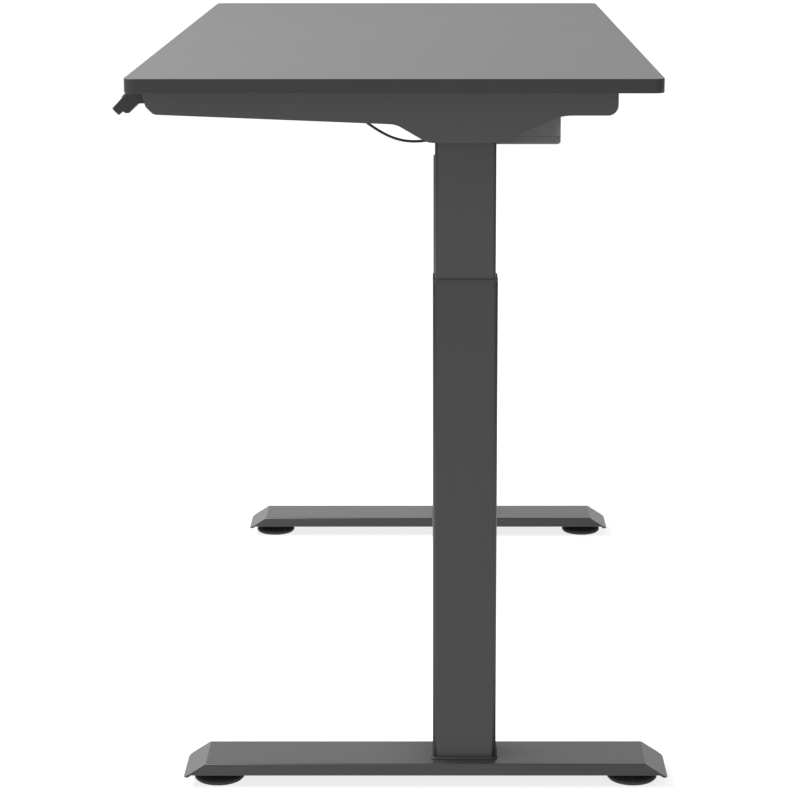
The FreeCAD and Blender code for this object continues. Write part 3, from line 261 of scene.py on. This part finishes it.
# %% Moulded plastics
def moulded(name, level, grain=1700, rough=0.5):
    plastic = Finish(name, Specular_IOR_Level=0.42)
    spark = plastic.cells(grain)
    cloud = plastic.noise(45, 2.0)
    base = cloud.blend(grey(level), grey(level * 1.2))
    relief = plastic.bump(spark, 0.00004, 0.45)
    return plastic.finish(base, rough + spark * 0.12, relief)


BOX_PLASTIC = moulded("control box plastic", 0.118)
HANDSET_PLASTIC = moulded("handset plastic", 0.009, 2200)
SLIDE_PLASTIC = moulded("slide plastic", 0.022, 1300, 0.42)
paint(BOX_PLASTIC, "control_box_tub", "control_box_lid")
paint(HANDSET_PLASTIC, "handset_housing", "handset_cover", "power_inlet")
paint(SLIDE_PLASTIC, *named("guide_collar"), "guide_shoes")
paint(moulded("clip plastic", 0.03, 1500, 0.4), "cable_clips")
paint(moulded("acetal", 0.72, 900, 0.32), *named("screw_nut"))

# %% [markdown]
# ## Rubber, window and board
# The glides have a soft grip face with turned rings, the keys a silky rubber skin, and the display
# sits behind smoked plastic. The boards are green lacquer over copper tracks.

# %% Rubber, window and board
def rings_rubber(name, level, ring_count):
    """Rubber with paler dusty patches and a fine noise grain in its relief and roughness, ring_count
    giving the grain's scale.
    """
    rubber = Finish(name, Specular_IOR_Level=0.4)
    dust = rubber.noise(120, 3.0, 0.6)
    grain = rubber.noise(ring_count, 2.0, 0.6)
    base = dust.between(0.4, 0.75).blend(grey(level), grey(level * 1.55))
    return rubber.finish(base, 0.6 + grain * 0.2, rubber.bump(grain, 0.00008, 0.5))


def smoked_window():
    window = Finish("smoked window", Roughness=0.06, Coat_Weight=0.6, Coat_Roughness=0.03)
    smear = window.noise(300, 2.0)
    return window.finish(grey(0.008), 0.05 + smear * 0.08)


def circuit_board():
    board = Finish("circuit board lacquer", Specular_IOR_Level=0.5)
    tracks = board.cells(240).between(0.35, 0.38)
    base = tracks.blend((0.01, 0.09, 0.035, 1), (0.02, 0.16, 0.06, 1))
    return board.finish(base, 0.3 + tracks * 0.1, board.bump(tracks, 0.00003, 0.6))


paint(rings_rubber("glide rubber", 0.026, 1500), *named("glide_pad"))
paint(rings_rubber("key rubber", 0.05, 2600), *named("key_"))
paint(smoked_window(), "handset_window")
paint(circuit_board(), "control_board", "handset_board")

# %% [markdown]
# ## Bare and plated metal
# Turned steel shows marks round its axis, cast metal a dull skin and zinc plate a soft cloudy
# shine. The metallic value is one number all over, so it is set straight on the shader.

# %% Bare and plated metal
def metal(name, level, rough, grain=700, stretch=(1, 1, 1), depth=0.00004):
    steel = Finish(name, Metallic=1.0)
    marks = steel.noise(grain, 3.0, 0.6, stretch)
    cloud = steel.noise(60, 2.0)
    base = cloud.blend(grey(level), grey(level * 1.15))
    return steel.finish(base, rough + marks * 0.18, steel.bump(marks, depth, 0.4))


BLACK_ZINC = metal("black zinc", 0.11, 0.32, 1200)
BRIGHT_ZINC = metal("bright zinc", 0.56, 0.24, 900)
paint(BLACK_ZINC, "head_bolts", "rail_bolts", "wood_screws", *named("foot_bolts"))
paint(BRIGHT_ZINC, *named("glide_stud"), "screw_bearings")
paint(metal("turned steel", 0.5, 0.22, 1.0, (60, 60, 2400)), *named("lift_screw", "push_tube"))
paint(metal("cast aluminium", 0.36, 0.42, 420, depth=0.0002), *named("gearbox"))
paint(metal("black motor can", 0.075, 0.34, 1.0, (900, 30, 30)), *named("motor_left", "motor_right"))

# %% [markdown]
# ## Eased edges
# Bent sheet, cut tube and moulded plastic never have a perfectly sharp edge, and the thin line of
# light along an edge is much of what makes a part look real. The frame's meshes are loose
# triangles, so a stack of modifiers joins them, dissolves what is flat and rounds what is left.

# %% Eased edges
def ease(name, width, segments=2):
    piece = NODES[name]
    weld = piece.modifiers.new("join", "WELD")
    weld.merge_threshold = 0.000002
    flat = piece.modifiers.new("flatten", "DECIMATE")
    flat.decimate_type = "DISSOLVE"
    flat.angle_limit = math.radians(1.0)
    bevel = piece.modifiers.new("ease", "BEVEL")
    bevel.width = width
    bevel.segments = segments
    bevel.limit_method = "ANGLE"
    bevel.angle_limit = math.radians(35)
    bevel.harden_normals = True


EASES = {0.0006: ("side_bracket", "foot_left", "foot_right", "leg_head"),
         0.0004: ("outer_tube", "inner_tube", "rail_", "control_box", "handset_housing"),
         0.0003: ("guide_collar", "handset_cover", "glide_pad", "key_", "power_inlet"),
         0.0005: ("edge_band", "gearbox", "motor_left", "motor_right")}
for width, starts in EASES.items():
    for name in named(*starts):
        ease(name, width)
print("eased", sum(len(named(*starts)) for starts in EASES.values()), "parts")

# %% [markdown]
# ## New pieces
# What sheet-metal drawings leave out is small and mostly round: boots, threads, plugs. A turned
# piece starts as a half outline that is spun about an axis, and a moulded block as a cube with
# rounded edges. Both are made about their own middle and then carried to their place in the mesh.

# %% Turned and moulded pieces
def carried(maker, place, direction=(0, 0, 1)):
    """Moves a mesh in the making so that its Z axis lies along a direction."""
    turn = Vector(direction).to_track_quat("Z", "Y").to_matrix().to_4x4()
    matrix = Matrix.Translation(place) @ turn
    bmesh.ops.transform(maker, matrix=matrix, verts=maker.verts[:])
    return maker


def turned(profile, steps=32):
    """A closed solid from a half outline of (radius, height) points."""
    maker = bmesh.new()
    points = [maker.verts.new((radius, 0, height)) for radius, height in profile]
    for first, second in zip(points, points[1:]):
        maker.edges.new((first, second))
    bmesh.ops.spin(maker, geom=maker.verts[:] + maker.edges[:], cent=(0, 0, 0), axis=(0, 0, 1),
                   dvec=(0, 0, 0), angle=math.tau, steps=steps, use_merge=True)
    bmesh.ops.remove_doubles(maker, verts=maker.verts[:], dist=0.0000002)
    bmesh.ops.recalc_face_normals(maker, faces=maker.faces[:])
    return maker


def rounded(maker, edges, width, segments=3):
    bmesh.ops.bevel(maker, geom=edges, offset=width, offset_type="OFFSET", segments=segments,
                    profile=0.5, affect="EDGES", material=-1)


def block(size, width, segments=3):
    """A box about its own middle, with all its edges rounded."""
    maker = bmesh.new()
    bmesh.ops.create_cube(maker, size=1)
    bmesh.ops.scale(maker, vec=size, verts=maker.verts[:])
    rounded(maker, maker.edges[:], width, segments)
    return maker


def joined(*makers):
    """Several meshes in the making as one."""
    whole = bmesh.new()
    for maker in makers:
        mesh = bpy.data.meshes.new("part")
        maker.to_mesh(mesh)
        maker.free()
        whole.from_mesh(mesh)
        bpy.data.meshes.remove(mesh)
    return whole


def piece_of(name, maker, material, body, slot, *replaced):
    """Turns a mesh in the making into a piece that rides on a body."""
    for face in maker.faces:
        face.smooth = True
    for edge in maker.edges:
        if len(edge.link_faces) == 2:
            edge.smooth = edge.calc_face_angle() < math.radians(38)
    mesh = bpy.data.meshes.new(name)
    maker.to_mesh(mesh)
    maker.free()
    mesh.materials.append(material)
    piece = bpy.data.objects.new(name, mesh)
    bpy.context.scene.collection.objects.link(piece)
    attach(piece, body)
    if replaced:
        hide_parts(*replaced)
    print("piece:", name, len(mesh.polygons), "faces on", body)
    return piece


# %% [markdown]
# ## Boots and plugs
# A cable that leaves a housing bends hardest at the hole, so a soft boot with rings stiffens it
# there, and at the control box it ends in a plug with grip ribs and a latch. The boot's half
# outline is a taper with a groove after each ring, so a loop makes it.

# %% Boots and plugs
CABLE_RUBBER = rings_rubber("cable boot rubber", 0.018, 2400)
PLUG_PLASTIC = moulded("plug plastic", 0.02, 2600, 0.38)
PORT_Z = 0.7765
PORT_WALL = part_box("control_box_tub")[0][1]


def boot(name, place, direction, root, tip, length, rings=4):
    """A ringed taper round a cable, its wide end at the place it comes out of."""
    profile = [(0, -0.001), (root * 1.15, -0.001), (root * 1.15, 0.0012)]
    pitch = (length - 0.0012) / rings
    for number in range(rings):
        low = 0.0012 + number * pitch
        wide = root + (tip - root) * number / rings
        profile += [(wide * 0.84, low), (wide * 0.84, low + pitch * 0.3),
                    (wide, low + pitch * 0.42), (wide * 0.97, low + pitch * 0.9)]
    profile += [(tip, length), (0, length)]
    maker = carried(turned(profile, 28), place, direction)
    return piece_of(name, maker, CABLE_RUBBER, "upper", "cable_jacket")


def plug(name, x):
    """A plug in one of the control box's ports, with ribs to grip and a latch on top."""
    body = block((0.0124, 0.0155, 0.0076), 0.0009)
    bmesh.ops.translate(body, vec=(x, PORT_WALL - 0.0028, PORT_Z), verts=body.verts[:])
    parts = [body]
    for side in (-1, 1):
        for step in range(4):
            rib = block((0.0007, 0.0008, 0.0052), 0.0002, 2)
            y = PORT_WALL - 0.0094 + step * 0.0017
            bmesh.ops.translate(rib, vec=(x + side * 0.0063, y, PORT_Z), verts=rib.verts[:])
            parts.append(rib)
    latch = block((0.0042, 0.0096, 0.0009), 0.0003, 2)
    bmesh.ops.rotate(latch, cent=(0, 0, 0), matrix=Matrix.Rotation(math.radians(5), 3, "X"),
                     verts=latch.verts[:])
    bmesh.ops.translate(latch, vec=(x, PORT_WALL - 0.0056, PORT_Z + 0.0043),
                        verts=latch.verts[:])
    parts.append(latch)
    neck = [(0, 0.003), (0.0029, 0.003), (0.0029, -0.0004), (0.0026, -0.0007),
            (0.0026, -0.0014), (0.0028, -0.0017), (0.0027, -0.0028), (0.0024, -0.0034), (0, -0.0034)]
    parts.append(carried(turned(neck, 24), (x, PORT_WALL - 0.0106, PORT_Z), (0, 1, 0)))
    return piece_of(name, joined(*parts), PLUG_PLASTIC, "upper", "box_plastic")


PLUG_PLACES = {"left_motor": 0.265, "right_motor": 0.305, "handset": 0.365}
PLUGS = {name: plug(name + "_plug", x) for name, x in PLUG_PLACES.items()}

# %% [markdown]
# ## Cables
# A desk's leads are soft round PVC, clipped up along the rails. Between its last clip and the
# control box the handset's lead has no clip, so its spare length hangs in a slack loop that shows
# under the side bracket. A NURBS curve with a round bevel makes a lead from a few points, and the
# curve stays smooth because it only leans towards them.

# %% Cables
def jacket():
    pvc = Finish("soft PVC jacket", Specular_IOR_Level=0.45)
    grain = pvc.noise(2600, 2.0, 0.6)
    cloud = pvc.noise(90, 2.0)
    base = cloud.blend(grey(0.020), grey(0.028))
    return pvc.finish(base, 0.42 + grain * 0.14, pvc.bump(grain, 0.00004, 0.35))


JACKET = jacket()
HANDSET_ROUTE = [
    (0.438, -0.243, 0.820), (0.436, -0.221, 0.823), (0.434, -0.189, 0.8275),
    (0.431, -0.147, 0.828), (0.430, -0.108, 0.826), (0.431, -0.069, 0.808),
    (0.433, -0.031, 0.7755), (0.433, 0.003, 0.7575), (0.426, 0.039, 0.757),
    (0.403, 0.065, 0.764), (0.378, 0.085, 0.773), (0.367, 0.103, 0.7765), (0.365, 0.116, 0.7765)]
RIGHT_MOTOR_ROUTE = [
    (0.3955, 0.068, 0.8045), (0.372, 0.0685, 0.804), (0.344, 0.071, 0.798), (0.322, 0.079, 0.787),
    (0.309, 0.095, 0.7775), (0.305, 0.116, 0.7765)]
LEFT_MOTOR_ROUTE = [
    (-0.3955, 0.068, 0.8045), (-0.366, 0.069, 0.806), (-0.322, 0.074, 0.820),
    (-0.266, 0.083, 0.826), (-0.207, 0.087, 0.825), (-0.148, 0.086, 0.8265),
    (-0.090, 0.089, 0.8255), (-0.032, 0.088, 0.8265), (0.026, 0.090, 0.8255),
    (0.082, 0.089, 0.826), (0.136, 0.084, 0.824), (0.186, 0.074, 0.810), (0.224, 0.068, 0.790),
    (0.250, 0.079, 0.778), (0.262, 0.097, 0.7755), (0.265, 0.116, 0.7765)]


def lead(name, route, diameter, length, lay, *with_pieces):
    """A cable along a route, replacing the plain tube of the same name."""
    curve = bpy.data.curves.new(name + "_line", "CURVE")
    curve.dimensions = "3D"
    spline = curve.splines.new("NURBS")
    spline.points.add(len(route) - 1)
    for point, place in zip(spline.points, route):
        point.co = (*place, 1)
    spline.order_u = 3
    spline.use_endpoint_u = True
    spline.resolution_u = 10
    curve.bevel_depth = diameter / 2
    curve.bevel_resolution = 5
    curve.use_fill_caps = True
    curve.materials.append(JACKET)
    piece = bpy.data.objects.new(name + "_lead", curve)
    bpy.context.scene.collection.objects.link(piece)
    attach(piece, "upper")
    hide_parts(name)
    print("lead:", name, len(route), "points")


lead("handset_cable", HANDSET_ROUTE, 0.0032, 0.404, "hanging",
     boot("handset_boot", HANDSET_ROUTE[0], (-0.06, 0.99, 0.1), 0.0036, 0.0022, 0.009),
     PLUGS["handset"])
lead("motor_cable_right", RIGHT_MOTOR_ROUTE, 0.0044, 0.121, "hanging",
     boot("right_motor_boot", RIGHT_MOTOR_ROUTE[0], (-1, 0.02, -0.02), 0.0046, 0.003, 0.010),
     PLUGS["right_motor"])
lead("motor_cable_left", LEFT_MOTOR_ROUTE, 0.0044, 0.701, "hanging",
     boot("left_motor_boot", LEFT_MOTOR_ROUTE[0], (1, 0.02, 0.04), 0.0046, 0.003, 0.010),
     PLUGS["left_motor"])

# %% [markdown]
# ## Threads
# Each glide stands on a threaded stud that screws it in or out of the foot. A thread is a spin
# that also climbs: one pitch of outline is spun for many turns with a small lift at each step.
# Two flat cuts trim it to the stud's own length, and filling the cut rims closes it.

# %% Threaded studs
PITCH = 0.00125
THREAD_STEPS = 24


def threaded(low, high, radius):
    """A threaded rod about the Z axis, from one height to another."""
    root = radius - 0.00062
    outline = [(root, 0.0), (root, 0.0002), (radius, 0.00056), (radius, 0.00072), (root, 0.00108),
               (root, PITCH)]
    turns = math.ceil((high - low) / PITCH) + 2
    maker = bmesh.new()
    points = [maker.verts.new((r, 0, low - 1.5 * PITCH + z)) for r, z in outline]
    for first, second in zip(points, points[1:]):
        maker.edges.new((first, second))
    bmesh.ops.spin(maker, geom=maker.verts[:] + maker.edges[:], cent=(0, 0, 0), axis=(0, 0, 1),
                   dvec=(0, 0, PITCH / THREAD_STEPS), angle=math.tau * turns,
                   steps=THREAD_STEPS * turns, use_merge=False)
    bmesh.ops.remove_doubles(maker, verts=maker.verts[:], dist=0.000002)
    for height, outwards in ((low, -1), (high, 1)):
        bmesh.ops.bisect_plane(maker, geom=maker.verts[:] + maker.edges[:] + maker.faces[:],
                               plane_co=(0, 0, height), plane_no=(0, 0, outwards),
                               clear_outer=True, dist=0.0000001)
        rim = [edge for edge in maker.edges if edge.is_boundary
               and all(abs(vertex.co.z - height) < 0.000001 for vertex in edge.verts)]
        bmesh.ops.holes_fill(maker, edges=rim, sides=0)
    bmesh.ops.recalc_face_normals(maker, faces=maker.faces[:])
    return maker


for name in named("glide_stud"):
    low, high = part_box(name)
    middle = ((low[0] + high[0]) / 2, (low[1] + high[1]) / 2, 0)
    rod = carried(threaded(low[2], high[2], (high[0] - low[0]) / 2), middle)
    piece_of(name + "_thread", rod, BRIGHT_ZINC, name, "glide_stud", name)

# %% [markdown]
# ## Column trims and base shade
# Where each outer tube stands on its foot, a thin black rubber trim covers the joint, and its dark
# colour is also painted shade: it lays the contact shadow round the column's base. It is a ring of
# the tube's own rounded shape, so a block with rounded corners gives the outside, an inset gives the
# wall, and joining the two inner rims gives the bore.

# %% Column trims and base shade
def trim(width, depth, corner, wall, height):
    """A rounded rectangular ring on the XY plane, with its outer top edge rounded."""
    maker = bmesh.new()
    bmesh.ops.create_cube(maker, size=1)
    bmesh.ops.scale(maker, vec=(width + 2 * wall, depth + 2 * wall, height), verts=maker.verts[:])
    bmesh.ops.translate(maker, vec=(0, 0, height / 2), verts=maker.verts[:])
    upright = [edge for edge in maker.edges
               if abs(edge.verts[0].co.z - edge.verts[1].co.z) > height / 2]
    rounded(maker, upright, corner + wall, 8)
    flats = [face for face in maker.faces if abs(face.normal.z) > 0.9]
    bmesh.ops.inset_region(maker, faces=flats, thickness=wall, use_even_offset=True)
    flats = sorted((face for face in maker.faces if abs(face.normal.z) > 0.9),
                   key=lambda face: -face.calc_area())[:2]
    rims = [edge for face in flats for edge in face.edges]
    bmesh.ops.delete(maker, geom=flats, context="FACES_ONLY")
    bmesh.ops.bridge_loops(maker, edges=rims)
    outer = [edge for edge in maker.edges
             if all(abs(vertex.co.z - height) < 0.00001 for vertex in edge.verts)
             and any(abs(face.normal.z) < 0.1 and face.normal.xy.dot(face.calc_center_median().xy) > 0
                     for face in edge.link_faces)]
    rounded(maker, outer, wall * 0.75, 4)
    bmesh.ops.recalc_face_normals(maker, faces=maker.faces[:])
    return maker


# Painted shade: the ring is near black, so it lays a dark band round each column's base where the
# contact shadow falls.
TRIM_AND_SHADE_RUBBER = rings_rubber("trim rubber with painted shade", 0.014, 1800)
for side in SIDES:
    tube_low, tube_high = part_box("outer_tube_" + side)
    foot_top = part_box("foot_" + side)[1][2]
    ring = trim(tube_high[0] - tube_low[0], tube_high[1] - tube_low[1], 0.005, 0.002, 0.0026)
    seat = ((tube_low[0] + tube_high[0]) / 2, (tube_low[1] + tube_high[1]) / 2, foot_top)
    piece_of("column_trim_and_shade_" + side, carried(ring, seat), TRIM_AND_SHADE_RUBBER, "leg_" + side,
             "slide_plastic")

# %% [markdown]
# ## Key marks and the display
# Marks on rubber keys are printed in pale ink that stands a hair proud: two arrows for up and
# down, one and two dots for the saved heights and a ring for saving. Behind the smoked window the
# unlit bars of three digits show faintly. All of them are flat shapes drawn on the tilted face and
# pushed out a little.

# %% Key marks and the display
FACE_TILT = math.radians(47)
FACE_TOP = Vector(((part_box("handset_cover")[0][0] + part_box("handset_cover")[1][0]) / 2, -0.3,
                   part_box("desktop")[0][2]))
ROW_DOWN = 0.0205
KEY_TOP = 0.0012
INK_SUNK = 0.00005
INK_THICK = 0.00013
FACE = Matrix.Translation(FACE_TOP) @ Matrix.Rotation(FACE_TILT, 4, "X")


def ink(name, level):
    paint_film = Finish(name, Specular_IOR_Level=0.4)
    worn = paint_film.noise(1600, 2.0).between(0.25, 0.5)
    return paint_film.finish(worn.blend(grey(level * 0.6), grey(level)), 0.5 + worn * 0.1)


def flat_shape(x, y, radius, corners, turn=0.0, hole=0.0):
    """A flat polygon or ring on the face's own plane."""
    maker = bmesh.new()
    bmesh.ops.create_circle(maker, cap_ends=True, radius=radius, segments=corners)
    if hole:
        bmesh.ops.inset_region(maker, faces=maker.faces[:], thickness=radius - hole,
                               use_boundary=True)
        inner = min(maker.faces, key=lambda face: face.calc_center_median().length)
        bmesh.ops.delete(maker, geom=[inner], context="FACES_ONLY")
    bmesh.ops.rotate(maker, cent=(0, 0, 0), matrix=Matrix.Rotation(turn, 3, "Z"),
                     verts=maker.verts[:])
    bmesh.ops.translate(maker, vec=(x, y, 0), verts=maker.verts[:])
    return maker


def raised(shapes, base, thick):
    """Pushes flat shapes out of the handset's face from a height above it."""
    maker = joined(*shapes)
    for face in maker.faces:
        if face.normal.z < 0:
            face.normal_flip()
    grown = bmesh.ops.extrude_face_region(maker, geom=maker.faces[:], use_keep_orig=True)
    lifted = [item for item in grown["geom"] if isinstance(item, bmesh.types.BMVert)]
    bmesh.ops.translate(maker, vec=(0, 0, thick), verts=lifted)
    bmesh.ops.translate(maker, vec=(0, 0, base), verts=maker.verts[:])
    bmesh.ops.recalc_face_normals(maker, faces=maker.faces[:])
    bmesh.ops.transform(maker, matrix=FACE, verts=maker.verts[:])
    return maker


def key_x(name):
    low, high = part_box("key_" + name)
    return (low[0] + high[0]) / 2 - FACE_TOP.x


QUARTER = math.pi / 2
MARKS = {"up": [(0, -0.0003, 0.0023, 3, 0.0)],
         "down": [(0, 0.0003, 0.0023, 3, 2 * QUARTER)],
         "one": [(0, 0, 0.0009, 20)],
         "two": [(-0.0014, 0, 0.0009, 20), (0.0014, 0, 0.0009, 20)],
         "memory": [(0, 0, 0.0021, 28, 0.0, 0.0014)]}
INK = ink("pale key ink", 0.6)
for name, shapes in MARKS.items():
    drawn = [flat_shape(key_x(name) + x, y - ROW_DOWN, *rest) for x, y, *rest in shapes]
    piece_of("mark_" + name, raised(drawn, KEY_TOP - INK_SUNK, INK_THICK), INK, "key_" + name,
             "key_rubber")


def digit_bars(x, y):
    """The seven bars of one digit, each a long hexagon."""
    bars = []
    for row in (-1, 0, 1):
        bars.append((x, y + row * 0.0030, 0.0))
    for column in (-1, 1):
        for row in (-1, 1):
            bars.append((x + column * 0.00165, y + row * 0.0015, QUARTER))
    shapes = []
    for bar_x, bar_y, turn in bars:
        bar = flat_shape(0, 0, 0.00036, 6, 0.0)
        for vertex in bar.verts:
            vertex.co.x += math.copysign(0.00085, vertex.co.x)
        bmesh.ops.rotate(bar, cent=(0, 0, 0), matrix=Matrix.Rotation(turn, 3, "Z"),
                         verts=bar.verts[:])
        bmesh.ops.translate(bar, vec=(bar_x, bar_y, 0), verts=bar.verts[:])
        shapes.append(bar)
    return shapes


window_x = (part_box("handset_window")[0][0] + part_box("handset_window")[1][0]) / 2 - FACE_TOP.x
digits = [bar for step in (-1, 0, 1) for bar in digit_bars(window_x + step * 0.0062, -ROW_DOWN)]
piece_of("display_bars", raised(digits, -0.00044, 0.00008), ink("unlit display bars", 0.035),
         "upper", "handset_window")

# %% [markdown]
# ## Studio
# A catalogue studio is a white room with one large soft light, above and in front of the desk, and
# a floor of lit milky acrylic, which takes the weight out of shadows. The one lamp makes whatever
# leans towards the front lighter than its twin at the back.

# %% Floor and light
def floor():
    mesh = bpy.data.meshes.new("studio_floor")
    maker = bmesh.new()
    bmesh.ops.create_grid(maker, x_segments=1, y_segments=1, size=14)
    maker.to_mesh(mesh)
    maker.free()
    plane = bpy.data.objects.new("studio_floor", mesh)
    bpy.context.scene.collection.objects.link(plane)
    pale = Finish("studio floor", Specular_IOR_Level=0.1, Emission_Color=(1, 1, 1, 1),
                  Emission_Strength=0.8)
    dust = pale.noise(2.0, 2.0)
    mesh.materials.append(pale.finish(dust.blend(grey(0.21), grey(0.23)), 0.9 + dust * 0.05))
    return plane


def area_light(name, place, target, size, watts):
    lamp = bpy.data.lights.new(name, "AREA")
    lamp.shape = "RECTANGLE"
    lamp.size, lamp.size_y = size
    lamp.energy = watts
    holder = bpy.data.objects.new(name, lamp)
    holder.location = place
    holder.rotation_euler = (Vector(target) - Vector(place)).to_track_quat("-Z", "Y").to_euler()
    bpy.context.scene.collection.objects.link(holder)
    return holder


floor()
area_light("front_top_light", (0.1, -2.4, 3.5), (0, 0, 0.45), (4.2, 1.6), 420)
bpy.context.scene.view_settings.view_transform = "Standard"
print("lights:", len(bpy.data.lights))

# %% [markdown]
# ## Surround
# What the room looks like and what light it gives can differ: a Light Path node tells rays that
# come straight from the eye, which meet plain white, from rays that gather light. Those meet a room
# that is dimmer low down on both sides, as with black flags beside a product table, so that
# upright edges turn dark where the tubes round away.

# %% Surround
AMBIENT = 0.95
SIDE_FLAG = 0.75
BACK_FADE = 0.22


def surround():
    room = bpy.data.worlds.new("white surround")
    room.use_nodes = True
    sky = Tree(room.node_tree)
    split = sky.node("ShaderNodeSeparateXYZ", {}, {0: sky.node("ShaderNodeTexCoord")})
    along, height = split.other(1), split.other(2)
    side = along.maths("ABSOLUTE").between(0.45, 0.95)
    low = 1.0 - height.maths("ABSOLUTE").between(0.25, 0.7)
    glow = (1.0 - side * low * SIDE_FLAG) * (AMBIENT - along * BACK_FADE)
    seen = sky.node("ShaderNodeLightPath")
    background = room.node_tree.nodes["Background"]
    background.inputs["Color"].default_value = (1, 1, 1, 1)
    sky.feed(background.inputs["Strength"], seen + (1.0 - seen) * glow)
    bpy.context.scene.world = room
    print("surround:", len(room.node_tree.nodes), "nodes")


surround()

# %% [markdown]
# ## Camera
# The desk is seen from its right-hand end, from a little above the top, so that the two feet stack
# one above the other and the top runs away from us. A long lens keeps the near column from
# swelling, and a small shift keeps the upright edges closer to parallel.

# %% Camera
eye = bpy.data.cameras.new("camera")
eye.lens = 108.62
eye.sensor_width = 36
eye.shift_x = -0.044
eye.shift_y = -0.1
eye.clip_end = 100
camera = bpy.data.objects.new("camera", eye)
camera.location = (3.264, 0.0454, 1.1161)
camera.rotation_euler = (math.radians(90 - 11.448), 0, math.radians(90))
bpy.context.scene.collection.objects.link(camera)
bpy.context.scene.camera = camera
print("camera at", tuple(camera.location))
